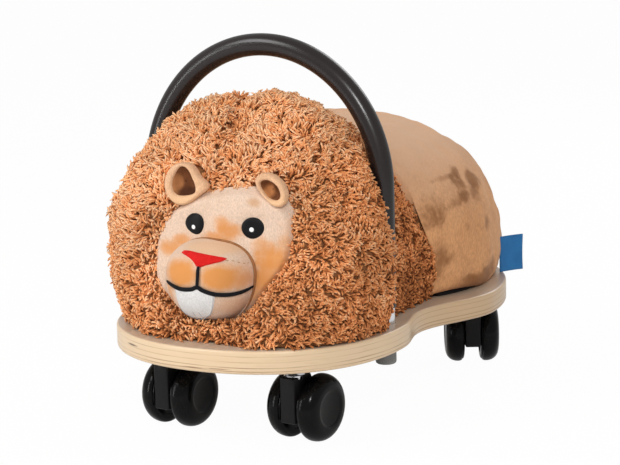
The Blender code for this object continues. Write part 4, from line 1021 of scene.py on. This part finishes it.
def make_caster(corner, x, y, degrees):
    turn = Matrix.Translation((x, y, 0.0)) @ Matrix.Rotation(math.radians(degrees), 4, "Z")
    swivel = f"caster_{corner}_swivel"
    half = PANEL_WIDTH / 2
    stand = Matrix(((0, 0, 1, 0), (1, 0, 0, 0), (0, 1, 0, 0), (0, 0, 0, 1)))
    mesh = prism("housing", housing_outline(), -half, half)
    mesh.transform(turn @ stand)
    housing = link(f"{corner}_housing", mesh, SATIN)
    bevel(housing, 0.0011, 4, 50)
    shade(housing, 40)
    settle(housing, "black_plastic", f"caster_{corner}_housing", body=swivel)
    neck_top = HOUSING_TOP + 0.003
    neck = (
        (0.0, HOUSING_TOP - 0.002), (0.0066, HOUSING_TOP - 0.0018), (0.0066, HOUSING_TOP + 0.0007),
        (0.0062, HOUSING_TOP + 0.0012), (0.0058, HOUSING_TOP + 0.0026), (0.0055, neck_top), (0.0, neck_top),
    )
    collar = (
        (0.0, PLATE_FOOT + 0.001), (0.0068, PLATE_FOOT + 0.001), (0.0067, neck_top + 0.0007),
        (0.0062, neck_top + 0.0003), (0.0, neck_top + 0.0003),
    )
    for name, profile, finish, slot, body in (
        ("neck", neck, CHROME, "steel", swivel), ("collar", collar, BLACK_STEEL, "black_steel", "ride_on"),
    ):
        piece = link(f"{corner}_{name}", turned(name, profile, 48), finish)
        piece.data.transform(turn)
        settle(piece, slot, body=body)
    for label, side in SIDES.items():
        lay = Matrix.Translation((side * (half + CLEARANCE), CASTER_TRAIL, AXLE_LEVEL))
        wheel = link(f"{corner}_wheel_{label}", turned("wheel", wheel_profile(), 96), GLOSS)
        wheel.data.transform(turn @ lay @ Matrix.Rotation(side * math.pi / 2, 4, "Y"))
        node = f"caster_{corner}_wheel_{label}"
        settle(wheel, "black_plastic", node, body=node)


def dress_nodes():
    """Finishes for the nodes whose shape stays as it is."""
    for name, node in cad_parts.items():
        if "_plate" in name:
            finish = BLACK_STEEL
        elif "_screw_" in name or "_axle" in name or "_bolt_" in name:
            finish = STEEL
        else:
            continue
        for slot in node.material_slots:
            slot.material = finish


# Stuffed body

def make_body():
    front = np.linspace(BODY_FRONT_Y, 0.150, 76, endpoint=False)
    rear = BODY_REAR_Y - (BODY_REAR_Y - 0.150) * (1.0 - np.sin(np.linspace(0.0, np.pi / 2, 26)))
    rings = []
    for station in np.concatenate([front, rear]):
        half_width, height = body_size(station)
        half = section(half_width - CLEARANCE, height - CLEARANCE, BODY_POWER, REST_LEVEL)
        rings.append(whole_ring(half, half, station))
    grid = np.array(rings)
    points = grid.reshape(-1, 3)
    out = unit(points - (0.0, 0.07, 0.12))
    above = smooth_step(points[:, 2], REST_LEVEL + 0.004, REST_LEVEL + 0.030)
    swell = 0.0009 * waves(points, 0.075, 5) + 0.0004 * waves(points, 0.024, 6)
    swell += 0.00022 * waves(points, 0.009, 7)
    points = points + out * (swell * above)[:, None]
    x, y, z = points.T
    # A fold across the seat, where the stuffing sags behind it
    seat = y - 0.12 * np.abs(x)
    sag = 0.0014 * ridge(seat - 0.072, 0.006) - 0.0012 * ridge(seat - 0.086, 0.006)
    z += sag * smooth_step(z, 0.175, 0.200)
    # Soft creases that run down from the seat
    for start, run, depth in ((0.058, -0.10, 0.0007), (0.096, 0.06, 0.0009)):
        line = y - start - run * (z - 0.150) - 0.004 * waves(points, 0.05, 9)
        points -= out * (depth * ridge(line, 0.0035) * smooth_step(z, 0.12, 0.17))[:, None]
    # Creases that fan out from the hem
    pleat = smooth_step(z, REST_LEVEL + 0.004, REST_LEVEL + 0.010)
    pleat *= fade(z, REST_LEVEL + 0.014, REST_LEVEL + 0.038)
    pleat *= np.sin(y / 0.0085 + 2.5 * waves(points, 0.06, 8))
    x += np.sign(x) * 0.0007 * pleat
    # The hem lifts off the board on the lion's left and shows the underlay
    lift = 0.0044 * ridge(y - 0.022, 0.034) * smooth_step(x, 0.05, 0.09)
    z += lift * fade(z, REST_LEVEL + 0.001, REST_LEVEL + 0.028)
    hem = ridge(z - REST_LEVEL - 0.0045 - lift, 0.0030)
    x += np.sign(x) * 0.0012 * hem * smooth_step(y, 0.0, 0.02)
    # The seam with the mane leans forward as it climbs
    y -= seam_slant(z) * fade(y, BODY_FRONT_Y, 0.070)
    body = link("body", grid_mesh("body", points.reshape(grid.shape)), TAN_PLUSH)
    settle(body, "tan_pile", "body_cover", "body_foam", fill=0.9)
    edge = [(body_size(y)[0] * FOOT_SHARE - 0.0035, y) for y in np.linspace(0.014, 0.1715, 60)]
    outline = edge + [(-x, y) for x, y in edge[::-1]]
    liner = link("underlay", prism("underlay", outline, REST_LEVEL, REST_LEVEL + 0.0042), BLACK_FELT)
    bevel(liner, 0.001, 3)
    settle(liner, "black_felt", "base_liner", fill=0.5)


# Mane

def face_radius(angle):
    """Reach of the face's skin from its middle, at an angle in radians."""
    return np.interp(np.degrees(angle) % 360, *np.array(FACE_REACH).T) / 1000


def face_reach(x, z):
    """Zero in the middle of the face, one at the edge of its panel."""
    across, up = x - FACE_X, z - FACE_Z
    return np.hypot(across, up) / face_radius(np.arctan2(up, across))


def face_y(x, z):
    """Y of the face's skin: a dome that slopes forward under the eyes, with hollows for them."""
    reach = np.minimum(face_reach(x, z), 1.2)
    slope = 0.010 * smooth_step(0.152 - z, 0.0, 0.060)
    dome = 0.0060 * (1.0 - reach**2)
    socket = 0.0020 * (ridge(x + 0.0215, 0.011) + ridge(x - 0.0265, 0.011)) * ridge(z - 0.1555, 0.009)
    brow = 0.0016 * ridge(z - 0.172, 0.009) * ridge(x - 0.004, 0.036)
    bridge = 0.0030 * ridge(x - 0.002, 0.010) * ridge(z - 0.153, 0.012)
    return FACE_Y - slope - dome + socket - brow - bridge


def parting(x, y, z, width):
    """How near a place is to the parting over the top of the head."""
    line = ridge(x + 0.008 + 0.20 * (y + 0.110), width)
    return line * smooth_step(y, -0.145, -0.125) * smooth_step(z, 0.175, 0.200)


def mane_skin():
    """The backing under the mane, inside its solid by the height of the pile, hollowed for the face."""
    rings = []
    for y in MANE_FRONT_Y + 0.005 + (SEAM_Y - MANE_FRONT_Y - 0.0055) * np.linspace(0.0, 1.0, 110) ** 1.15:
        half_width, height = mane_size(y - 0.001)
        size = (max(half_width - 0.0035, 0.004), max(height - 0.0070, 0.004))
        halves = []
        for power in (HEAD_POWER, HEAD_POWER + 0.5 * float(fade(y, -0.085, -0.060))):
            half = section(*size, power, REST_LEVEL + 0.0015)
            over = np.clip(half[:, 0] - (hoop_inside(half[:, 1]) - GROOVE_GAP), 0.0, None)
            half[:, 0] -= fade(abs(y - HOOP_Y) - SLEEVE_RADIUS - GROOVE_GAP, 0.0, GROOVE_LIP) * over
            halves.append(half)
        rings.append(whole_ring(*halves, y))
    grid = np.array(rings)
    points = grid.reshape(-1, 3)
    # Uneven stuffing
    out = unit(points - (0.0, -0.07, 0.13))
    uneven = 0.0015 * waves(points, 0.060, 11) + 0.0008 * waves(points, 0.030, 12)
    angle = np.degrees(np.arctan2(points[:, 2] - 0.130, points[:, 0]))
    fuller = np.interp(angle, *np.array(FULLNESS).T) / 1000 * fade(points[:, 1], -0.100, -0.080)
    points = points + out * (uneven * smooth_step(points[:, 2], 0.080, 0.110) + fuller)[:, None]
    x, y, z = points.T
    z -= 0.0060 * parting(x, y, z, 0.005) * fade(y, -0.080, -0.060)
    # The rim slopes down to the face, steeply only under the chin
    chin = smooth_step(0.110 - z, 0.0, 0.020)
    away = np.where(x < 0, 1.40, 1.22)
    hollow = fade(face_reach(x, z), 0.97, away + (1.10 - away) * chin)
    deeper = np.maximum(y, face_y(x, z) + 0.004)
    y += np.where(y < -0.115, hollow * (deeper - y), 0.0)
    y -= seam_slant(z) * smooth_step(y, -0.052, SEAM_Y)
    return grid_mesh("mane_backing", points.reshape(grid.shape))


def triangles_of(mesh):
    mesh.calc_loop_triangles()
    points = np.empty(len(mesh.vertices) * 3)
    mesh.vertices.foreach_get("co", points)
    corners = np.empty(len(mesh.loop_triangles) * 3, dtype=np.int32)
    mesh.loop_triangles.foreach_get("vertices", corners)
    return points.reshape(-1, 3), corners.reshape(-1, 3)


def scatter(points, corners, spacing, rng):
    """Even random places on a mesh, with the normal of the face that each lies on."""
    a, b, c = (points[corners[:, index]] for index in range(3))
    cross = np.cross(b - a, c - a)
    doubled = np.linalg.norm(cross, axis=1)
    keep = doubled > 1e-12
    a, b, c, cross, doubled = a[keep], b[keep], c[keep], cross[keep], doubled[keep]
    count = int(doubled.sum() / 2 / spacing**2 * 5)
    pick = rng.choice(len(doubled), size=count, p=doubled / doubled.sum())
    u, v = rng.random((2, count))
    flip = u + v > 1
    u[flip], v[flip] = 1 - u[flip], 1 - v[flip]
    places = a[pick] + (b - a)[pick] * u[:, None] + (c - a)[pick] * v[:, None]
    cells = np.floor(places / spacing).astype(int)
    kept = np.unique(cells, axis=0, return_index=True)[1]
    kept.sort()
    return places[kept], (cross / doubled[:, None])[pick][kept]


def turn_about(vectors, axes, angles):
    cosine, sine = np.cos(angles)[:, None], np.sin(angles)[:, None]
    along = (vectors * axes).sum(axis=1)[:, None]
    return vectors * cosine + np.cross(axes, vectors) * sine + axes * along * (1 - cosine)


def flattened(vectors, normals):
    """What is left of vectors without their part along the normals."""
    return vectors - normals * (vectors * normals).sum(axis=1)[:, None]


def clear_of_hoop(points, gap):
    """Moves points out of the sleeve of the hoop."""
    path = hoop_path(BOARD_TOP, 160)
    near = np.nonzero(np.abs(points[:, 1] - HOOP_Y) < SLEEVE_RADIUS + gap)[0]
    for chunk in np.array_split(near, max(len(near) // 4000, 1)):
        if len(chunk) == 0:
            continue
        away = points[chunk][:, None, (0, 2)] - path[None][:, :, (0, 2)]
        offset = points[chunk] - path[(away**2).sum(axis=2).argmin(axis=1)]
        reach = np.linalg.norm(offset, axis=1)
        push = np.maximum(SLEEVE_RADIUS + gap - reach, 0.0)
        points[chunk] += offset / np.maximum(reach, 1e-6)[:, None] * push[:, None]
    return points


def grow_locks(name, roots, normals, flows, lengths, widths, lift, curl, tone):
    """Curling, tapering locks: each has a three-sided section, three stations and a blunt tip."""
    count = len(roots)
    stations = (0.0, 0.42, 0.82, 1.0)
    side = unit(np.cross(normals, flows))
    previous = roots - normals * 0.0008
    heading = normals
    rows = []
    for index, girth in enumerate((0.85, 1.00, 0.90, 0.0)):
        if index:
            middle = (stations[index - 1] + stations[index]) / 2
            lean = lift[:, 0] + (lift[:, 1] - lift[:, 0]) * middle**0.8
            heading = normals * np.cos(lean)[:, None] + flows * np.sin(lean)[:, None]
            heading = unit(turn_about(heading, normals, curl * middle**1.2))
            previous = previous + heading * (lengths * (stations[index] - stations[index - 1]))[:, None]
        if girth == 0.0:
            rows.append(previous[:, None])
            break
        across = unit(flattened(side, heading))
        half = (widths * girth / 2)[:, None]
        rise = np.cross(heading, across) * half
        across = across * half
        foot = previous - rise * 0.35
        rows.append(np.stack([previous + rise * 0.80, foot - across, foot + across], axis=1))
    points = np.concatenate(rows, axis=1)
    per_lock = points.shape[1]
    triangles = [(0, 1, 2)]
    for first in range(6):
        second = first + 1 if first % 3 < 2 else first - 2
        triangles += [(first, first + 3, second + 3), (first, second + 3, second)]
    triangles += [(6, 9, 7), (7, 9, 8), (8, 9, 6)]
    corners = (np.arange(count)[:, None, None] * per_lock + np.array(triangles)[None]).reshape(-1, 3)
    along = np.tile(np.repeat(stations, (3, 3, 3, 1)), count)
    flat = clear_of_hoop(points.reshape(-1, 3), 0.0004)
    over_board = (np.abs(flat[:, 0]) < FRONT_LOBE_WIDTH / 2) & (flat[:, 1] > FRONT_Y - 0.003)
    flat[:, 2] = np.where(over_board, np.maximum(flat[:, 2], REST_LEVEL - 0.0002), flat[:, 2])
    mesh = mesh_of_triangles(name, flat, corners, along=along, lock=np.repeat(tone, per_lock))
    return link(name, mesh, FUR)


def lock_roots(skin_mesh, rng):
    """Roots and normals of the locks: none on the face or in the ears, underneath, or against the body."""
    spacing = LOCK_SPACING
    roots, normals = scatter(*triangles_of(skin_mesh), spacing, rng)
    x, y, z = roots.T
    inner = 0.955 + 0.030 * waves(roots, 0.010, 3) - 0.09 * smooth_step(0.102 - z, 0.0, 0.012)
    bare = (y < -0.120) & (face_reach(x, z) < inner)
    for ear_x, ear_z, wide in ((-0.0305, 0.1840, 0.0100), (0.0380, 0.1825, 0.0075)):
        bare |= (y < -0.125) & (np.hypot(x - ear_x, z - ear_z) < wide)
    bare |= (normals[:, 2] < -0.85) | (z < REST_LEVEL + 0.0022)
    bare |= (normals[:, 1] > 0.85) & (y > SEAM_Y - 0.045)
    return roots[~bare], normals[~bare]


def make_mane():
    skin_mesh = mane_skin()
    settle(link("mane_backing", skin_mesh, BACKING_PAINTED_SHADE), "mane_pile", "mane_cover", "head_foam", fill=0.9)
    rng = np.random.default_rng(20)
    roots, normals = lock_roots(skin_mesh, rng)
    x, y, z = roots.T
    count = len(roots)
    radial = roots - (0.0, -0.150, 0.137)
    # Near the face the pile stands forward and away from it
    rim = np.where(y < -0.112, fade(face_reach(x, z), 1.0, 1.30), 0.0)
    normals = unit(normals + rim[:, None] * (0.6 * unit(radial * (1, 0, 1)) + (0.0, -0.5, 0.0)))
    # The pile runs away from the face, turned by slow eddies, and each bundle has a way of its own
    neck = smooth_step(y, -0.070, -0.050)
    flow = (unit(radial) + (0.0, 0.0, -0.10)) * (1 - neck)[:, None]
    flow += np.array((0.0, 0.9, -0.25)) * neck[:, None]
    flow = unit(flattened(flow, normals))
    # Combed longer over the top and on the lion's right, tight and kinked low on its left
    long = smooth_step(z - 0.55 * x, 0.115, 0.200) * (1 - neck)
    eddy = (0.95 - 0.25 * long) * waves(roots, 0.040, 31) + 0.6 * waves(roots, 0.014, 32)
    warped = roots + 0.002 * np.stack([waves(roots, 0.015, seed) for seed in (41, 42, 43)], axis=1)
    cells = np.floor(warped @ np.array(Matrix.Rotation(0.7, 3, (1, 2, 3))) / BUNDLE_SIZE).astype(int)
    bundle = np.unique(cells, axis=0, return_inverse=True)[1].ravel()
    number = bundle.max() + 1
    bundle_turn, bundle_lift, bundle_tone, bundle_curl = (
        rng.normal(0.0, spread, number)[bundle] for spread in (0.60, 0.20, 0.13, 1.0)
    )
    sums = np.zeros((number, 3))
    np.add.at(sums, bundle, roots)
    heart = sums / np.bincount(bundle, minlength=number)[:, None]
    flow = turn_about(flow, normals, eddy + bundle_turn + rng.normal(0.0, 0.42 - 0.15 * long, count))
    # Some of the locks round the face lean over its edge
    stray = rng.random(count) < 0.55 * rim
    flow = np.where(stray[:, None], -flow, flow)
    flow = unit(flow + flattened(heart[bundle] - roots, normals) / BUNDLE_SIZE * 0.6)
    chin = smooth_step(-z, -0.095, -0.080) * smooth_step(-y, 0.150, 0.168)
    parted = parting(x, y, z, 0.0045)
    lengths = (0.0066 + 0.0030 * long) * rng.uniform(0.75, 1.25, count)
    lengths *= (1 - 0.15 * rim - 0.15 * stray) * (1 + 0.45 * chin) * (1 - 0.55 * parted)
    widths = rng.uniform(0.00145, 0.00210, count) * (1 + 0.06 * long)
    lift = np.stack([
        np.clip(rng.normal(0.30, 0.14, count) + bundle_lift * 0.6, 0.0, 1.0),
        np.clip(rng.normal(1.85, 0.20, count) + bundle_lift, 1.1, 2.2),
    ], axis=1)
    curl = bundle_curl + rng.normal(0.0, 0.6, count)
    # Painted light and shade in each lock's tone: paler where combed long over the top, darker low on the
    # lion's left, towards the bottom, at the neck and along the parting, with random tone on top
    low = smooth_step(x, -0.02, 0.08) * (1 - long)
    tone = 0.52 + 0.12 * long - 0.20 * low - 0.14 * smooth_step(0.115 - z, 0.0, 0.03)
    tone = tone - 0.24 * neck - 0.42 * parted
    tone = np.clip(tone + bundle_tone + rng.normal(0.0, 0.09, count), 0.0, 1.0)
    locks = (roots, normals, flow, lengths, widths, lift, curl, tone)
    for number, (low, high) in enumerate(zip(PILE_EDGES, PILE_EDGES[1:]), 1):
        mask = (y >= low) & (y < high)
        settle(grow_locks(f"mane_pile_{number}", *(values[mask] for values in locks)), "mane_pile", fill=0.3)


# Face

def make_face():
    angles = np.linspace(0.0, 2 * np.pi, 160, endpoint=False)
    radius = softened(face_radius(angles), 10)
    rows = []
    for share in np.linspace(0.02, 1.03, 48):
        x = FACE_X + radius * share * np.cos(angles)
        z = np.maximum(FACE_Z + radius * share * np.sin(angles), BOARD_TOP + 0.006)
        ring = np.stack([x, face_y(x, z) + 0.006 * smooth_step(share, 0.88, 1.03) ** 1.5, z], axis=1)
        ring[:, 1] += 0.0005 * waves(ring, 0.020, 51)
        rows.append(ring)
    edge = rows[-1]
    middle = np.array([FACE_X, 0.0, FACE_Z])
    rows.append(edge + (0.0, 0.004, 0.0))
    rows.append(middle + (edge - middle) * (0.9, 0.0, 0.9) + (0.0, FACE_Y + 0.012, 0.0))
    face = link("face", grid_mesh("face", np.array(rows)), FACE_PLUSH)
    settle(face, "cream_pile", "face_panel", fill=0.8)


def muzzle_edge(turn, grown=0.0):
    """The muzzle's outline at its back as x and z about its middle, grown in width."""
    share = 2 / MUZZLE_POWER
    height = np.where(np.sin(turn) > 0, MUZZLE_RISE, MUZZLE_DROP)
    across = (MUZZLE_HALF_WIDTH + grown) * signed_power(np.cos(turn), share)
    return across, height * signed_power(np.sin(turn), share)


def make_muzzle():
    share = 2 / MUZZLE_POWER
    across, up = muzzle_edge(np.linspace(0.0, 2 * np.pi, 128, endpoint=False))
    rows = []
    for lean in np.linspace(0.03, np.pi / 2, 60):
        spread = math.sin(lean) ** share
        x, z = MUZZLE_X + across * spread, MUZZLE_Z + up * spread
        y = MUZZLE_BACK_Y - MUZZLE_DEPTH * max(math.cos(lean), 0.0) ** share
        # The thread draws the plush in along the mouth and under the nose
        mouth = ridge(z - height_along(MOUTH, x), 0.0026) * fade(np.abs(x - MUZZLE_X), 0.027, 0.033)
        lip = ridge(x + 0.0015, 0.0026) * smooth_step(z, 0.114, 0.120) * fade(z, 0.131, 0.137)
        rows.append(np.stack([x, y + 0.0009 * np.maximum(mouth, lip), z], axis=1))
    rows.append(rows[-1] + (0.0, 0.006, 0.0))
    muzzle = link("snout", grid_mesh("snout", np.array(rows)), MUZZLE_PLUSH)
    settle(muzzle, "cream_pile", "muzzle", fill=0.9)
    # Painted shade: a dark line swept along the join where the muzzle meets the face
    across, up = muzzle_edge(np.radians(np.linspace(-50.0, 118.0, 90)), 0.0002)
    x, z = MUZZLE_X + across, MUZZLE_Z + up
    path = np.stack([x, face_y(x, z) - 0.0002, z], axis=1)
    radii = 0.0010 * (1.0 - np.abs(np.linspace(-1.0, 1.0, 90)) ** 3) + 0.0001
    join_shade = link("muzzle_join_shade", swept("muzzle_join_shade", path, radii, 12), MUZZLE_JOIN_SHADE)
    settle(join_shade, "cream_pile")


def felt_pad(name, places, top_row, low_row, steps, thickness, material):
    """A raised pad on the muzzle between two rows of points, with an edge that rolls down to the skin."""
    columns = []
    for x in places:
        top = top_row(x)
        columns.append([(x, top + (low_row(x, top) - top) * part) for part in np.linspace(0, 1, steps)])
    columns = np.array(columns)
    across, down = columns.shape[:2]
    rim = np.maximum(np.abs(np.linspace(-1, 1, across))[:, None], np.abs(np.linspace(-1, 1, down))[None, :])
    height = (thickness * (1.0 - smooth_step(rim, 0.80, 1.0) ** 2))[:, :, None]
    skin, out = over_muzzle(columns[:, :, 0], columns[:, :, 1], CLEARANCE)
    bm = bmesh.new()
    upper = [[bm.verts.new(p) for p in row] for row in skin + out * height]
    lower = [[bm.verts.new(p) for p in row] for row in skin - out * 0.0012]
    for i in range(across - 1):
        for j in range(down - 1):
            bm.faces.new((upper[i][j], upper[i + 1][j], upper[i + 1][j + 1], upper[i][j + 1]))
            bm.faces.new((lower[i][j], lower[i][j + 1], lower[i + 1][j + 1], lower[i + 1][j]))
    border = [(i, 0) for i in range(across)] + [(across - 1, j) for j in range(1, down)]
    border += [(i, down - 1) for i in range(across - 2, -1, -1)] + [(0, j) for j in range(down - 2, 0, -1)]
    for (i, j), (k, m) in zip(border, border[1:] + border[:1]):
        bm.faces.new((upper[i][j], lower[i][j], lower[k][m], upper[k][m]))
    return link(name, mesh_of(bm, name), material)


def make_thread(name, rows, radius, material, slot, *nodes, steps=90, taper=0.55, stand_off=0.0004):
    """A raised line of stitches on the muzzle, thinner at both ends."""
    line = smooth_line(rows, steps)
    path, out = over_muzzle(line[:, 0], line[:, 1], stand_off)
    radii = radius * (1.0 - taper * np.abs(np.linspace(-1.0, 1.0, steps)) ** 5)
    settle(link(name, swept(name, path, radii, 14, 0.9, out), material), slot, *nodes)


def make_features():
    nose = felt_pad(
        "nose_patch", np.linspace(-0.0193, 0.0154, 49), lambda x: height_along(NOSE_TOP, x),
        lambda x, top: min(height_along(NOSE_LOW, x), top - 0.0004), 17, 0.0010, RED_FELT,
    )
    settle(nose, "red_felt", "nose")
    patch = felt_pad(
        "light_patch", np.linspace(-0.0209, 0.0102, 45), lambda x: height_along(MOUTH, x) - 0.0006,
        lambda x, top: min(height_along(PATCH_LOW, x), top - 0.0006), 33, 0.0008, WHITE_FELT,
    )
    settle(patch, "white_felt", "tongue")
    inner = [(-7.0 + (x + 7.0) * 0.94, 106.0 + (z - 106.0) * 0.93) for x, z in PATCH_LOW]
    make_thread("patch_seam", inner, 0.00028, GREY_THREAD, "white_felt", stand_off=0.0012)
    for number, x in enumerate((-9.5, -4.5), 1):
        line = [(x, 100.5), (x + 0.2, 98.0), (x + 0.3, 95.8)]
        name = f"patch_crease_{number}"
        make_thread(name, line, 0.00022, GREY_THREAD, "white_felt", steps=12, stand_off=0.0011)
    make_thread("mouth_line", MOUTH, 0.00150, THREAD, "black_thread", "mouth_stitch", steps=120)
    make_thread("lip_line", LIP, 0.00120, THREAD, "black_thread", steps=30, taper=0.2)
    seam = smooth_line(MUZZLE_SEAM, 13) * 1000
    for number in range(6):
        start, end = seam[2 * number], seam[2 * number + 1]
        name = f"muzzle_stitch_{number + 1}"
        line = (start, (start + end) / 2, end)
        make_thread(name, line, 0.00026, TAN_THREAD, "cream_pile", steps=6, stand_off=0.0001)


def make_eyes():
    dome = [(0.0, -0.0050), (0.97, -0.0050), (1.0, -0.0030), (1.0, 0.0004)]
    for angle in np.linspace(0.15, np.pi / 2, 12):
        dome.append((math.cos(angle), 0.0004 + 0.0019 * math.sin(angle)))
    dome[-1] = (0.0, dome[-1][1])
    for label, (x, z, wide, high, tilt, turn, (dot_x, dot_z), radius) in EYES.items():
        lay = Matrix.Translation((x, float(face_y(np.array(x), np.array(z))) - 0.0001, z))
        lay = lay @ Matrix.Rotation(math.radians(turn), 4, "Z") @ Matrix.Rotation(math.pi / 2, 4, "X")
        eye = link(f"eye_dome_{label}", turned("eye", dome, 72), EYE_BLACK)
        shade(eye, 70)
        spin = Matrix.Rotation(math.radians(tilt), 4, "Z")
        eye.data.transform(lay @ spin @ Matrix.Diagonal((wide, high, 1.0, 1.0)))
        settle(eye, "black_gloss", f"eye_{label}")
        profile = [
            (0.0, -0.001), (radius, -0.001), (radius * 0.95, 0.0002), (radius * 0.6, 0.0004), (0.0, 0.00045)
        ]
        dot = link(f"eye_dot_{label}", turned("dot", profile, 28), EYE_WHITE)
        dot.data.transform(lay @ Matrix.Translation((dot_x - x, dot_z - z, 0.0022)))
        settle(dot, "white_felt")


def ring_about(rows, middle, steps):
    """A closed outline read at even directions about a place, as an array of (x, z) in metres."""
    rows = np.array(rows + rows[:1], dtype=float) / 1000 - middle
    shares = np.linspace(0, 1, 24, endpoint=False)[:, None]
    fine = np.concatenate([a + (b - a) * shares for a, b in zip(rows, rows[1:])])
    angles = np.arctan2(fine[:, 1], fine[:, 0])
    order = np.argsort(angles)
    directions = np.linspace(-np.pi, np.pi, steps, endpoint=False)
    reach = np.interp(directions, angles[order], np.hypot(fine[:, 0], fine[:, 1])[order], period=2 * np.pi)
    return np.stack([np.cos(directions), np.sin(directions)], axis=1) * softened(reach, 4)[:, None] + middle


def laid(ring, side, back):
    """An ear's ring in space. The ear leans back at the top and comes forward at its outer side."""
    lean = 0.16 * (ring[:, 1] - 0.184) - side * 0.10 * (ring[:, 0] - side * 0.035)
    return np.stack([ring[:, 0], -0.1470 + lean + back, ring[:, 1]], axis=1)


def make_ears():
    for label, (outer_rows, inner_rows) in EARS.items():
        side = SIDES[label]
        middle = np.array(inner_rows, dtype=float).mean(axis=0) / 1000
        outer, inner = (ring_about(rows, middle, 96) for rows in (outer_rows, inner_rows))
        rolled = [laid(inner + (outer - inner) * share, side, back) for share, back in EAR_ROLL]
        rim_mesh = grid_mesh("ear_rim", np.stack(rolled, axis=1), caps=False, looped=True)
        ear = link(f"ear_rim_{label}", rim_mesh, EAR_PLUSH)
        modify(ear, "SUBSURF", levels=1, render_levels=1)
        ear.data.shade_smooth()
        settle(ear, "cream_pile", f"ear_{label}", fill=0.6)
        rows = []
        for share, depth in EAR_BOWL:
            ring = middle + (inner - middle) * share
            lobe = laid(ring, side, depth)
            # The lining folds towards the middle
            fold = ridge(ring[:, 0] - middle[0] - 0.25 * side * (ring[:, 1] - middle[1]), 0.0022)
            lobe[:, 1] -= 0.0022 * fold * (1.0 - share)
            rows.append(lobe)
        bowl = link(f"ear_bowl_{label}", grid_mesh("ear_bowl", np.array(rows), caps=False), EAR_LINING)
        modify(bowl, "SOLIDIFY", thickness=0.0012, offset=0.0)
        settle(bowl, "cream_pile", fill=0.5)


def make_label():
    low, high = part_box("side_label")
    turn = math.radians(LABEL_TURN)
    ahead = np.array([math.cos(turn), math.sin(turn), 0.0])
    across = np.array([-math.sin(turn), math.cos(turn), 0.0])
    rows = []
    for z in np.linspace(low[2], high[2], 24):
        root = np.array([body_size(LABEL_Y)[0] - 0.001, LABEL_Y, z])
        sway = 0.0006 * math.sin((z - low[2]) * 120)
        rows.append([
            root + ahead * (LABEL_REACH * share) + across * (0.0010 * math.sin(share * 2.6) + sway * share)
            for share in np.linspace(0.0, 1.0, 14)
        ])
    label = link("side_tag", grid_mesh("side_tag", np.array(rows), closed_rows=False, caps=False), TAPE)
    modify(label, "SOLIDIFY", thickness=LABEL_THICKNESS, offset=0.0)
    settle(label, "blue_weave", "side_label")


# Camera, light and floor

def make_camera():
    azimuth, elevation, roll = np.radians((CAMERA_AZIMUTH, CAMERA_ELEVATION, CAMERA_ROLL))
    level = Vector((math.cos(azimuth), math.sin(azimuth), 0.0))
    back = Vector((
        math.sin(azimuth) * math.cos(elevation), -math.cos(azimuth) * math.cos(elevation), math.sin(elevation)
    ))
    upright = back.cross(level)
    right = level * math.cos(roll) + upright * math.sin(roll)
    up = upright * math.cos(roll) - level * math.sin(roll)
    data = bpy.data.cameras.new("camera")
    data.sensor_width = 36.0
    data.sensor_fit = "HORIZONTAL"
    data.lens = CAMERA_LENS
    data.clip_start = 0.05
    camera = bpy.data.objects.new("camera", data)
    bpy.context.scene.collection.objects.link(camera)
    place = level * CAMERA_SHIFT + Vector(CAMERA_TARGET) + back * CAMERA_DISTANCE
    camera.matrix_world = Matrix.Translation(place) @ Matrix((right, up, back)).transposed().to_4x4()
    bpy.context.scene.camera = camera


def seen_share(wires, glossy):
    """One where the camera sees a surface, also through another, and a share of it in reflections."""
    light = wires.add("LightPath").outputs
    seen = wires.most(light["Is Camera Ray"], light["Is Transmission Ray"])
    return wires.most(seen, wires.times(light["Is Glossy Ray"], glossy))


def make_studio():
    scene = bpy.context.scene
    scene.view_settings.view_transform = "Standard"
    scene.world = bpy.data.worlds.new("studio")
    scene.world.use_nodes = True
    wires = Wiring(scene.world.node_tree)
    background = wires.tree.nodes["Background"].inputs
    wires.feed(background["Color"], (1.0, 1.0, 1.0))
    strength = wires.math("MULTIPLY_ADD", seen_share(wires, 0.25), 1.0 - WORLD_LIGHT, WORLD_LIGHT)
    wires.feed(background["Strength"], strength)
    material, wires, _ = new_material("white sweep", 0.9, Base_Color=(0.86, 0.86, 0.86, 1.0))
    nodes = wires.tree.nodes
    glow = wires.add("Emission", {"Color": (1.0, 1.0, 1.0), "Strength": 1.0})
    share = wires.times(seen_share(wires, 0.3), 0.97)
    shaders = {1: nodes["Principled BSDF"].outputs[0], 2: glow.outputs[0]}
    blend = wires.add("MixShader", {0: share, **shaders})
    wires.feed(nodes["Material Output"].inputs["Surface"], blend.outputs[0])
    mesh = bpy.data.meshes.new("floor")
    corners = [(x * FLOOR_REACH, y * FLOOR_REACH, 0.0) for x, y in ((-1, -1), (1, -1), (1, 1), (-1, 1))]
    mesh.from_pydata(corners, [], [(0, 1, 2, 3)])
    link("floor", mesh, material)
    for name, (place, target, width, height, power) in LAMPS.items():
        data = bpy.data.lights.new(name, "AREA")
        data.shape = "RECTANGLE"
        data.size = width
        data.size_y = height
        data.energy = power
        lamp = bpy.data.objects.new(name, data)
        scene.collection.objects.link(lamp)
        lamp.location = place
        lamp.rotation_euler = (Vector(target) - Vector(place)).to_track_quat("-Z", "Y").to_euler()


make_camera()
make_studio()
dress_nodes()
make_board()
make_hoop()
for corner, (x, y, degrees) in CORNERS.items():
    make_caster(corner, x, y, degrees)
make_body()
make_mane()
make_face()
make_muzzle()
make_features()
make_eyes()
make_ears()
make_label()
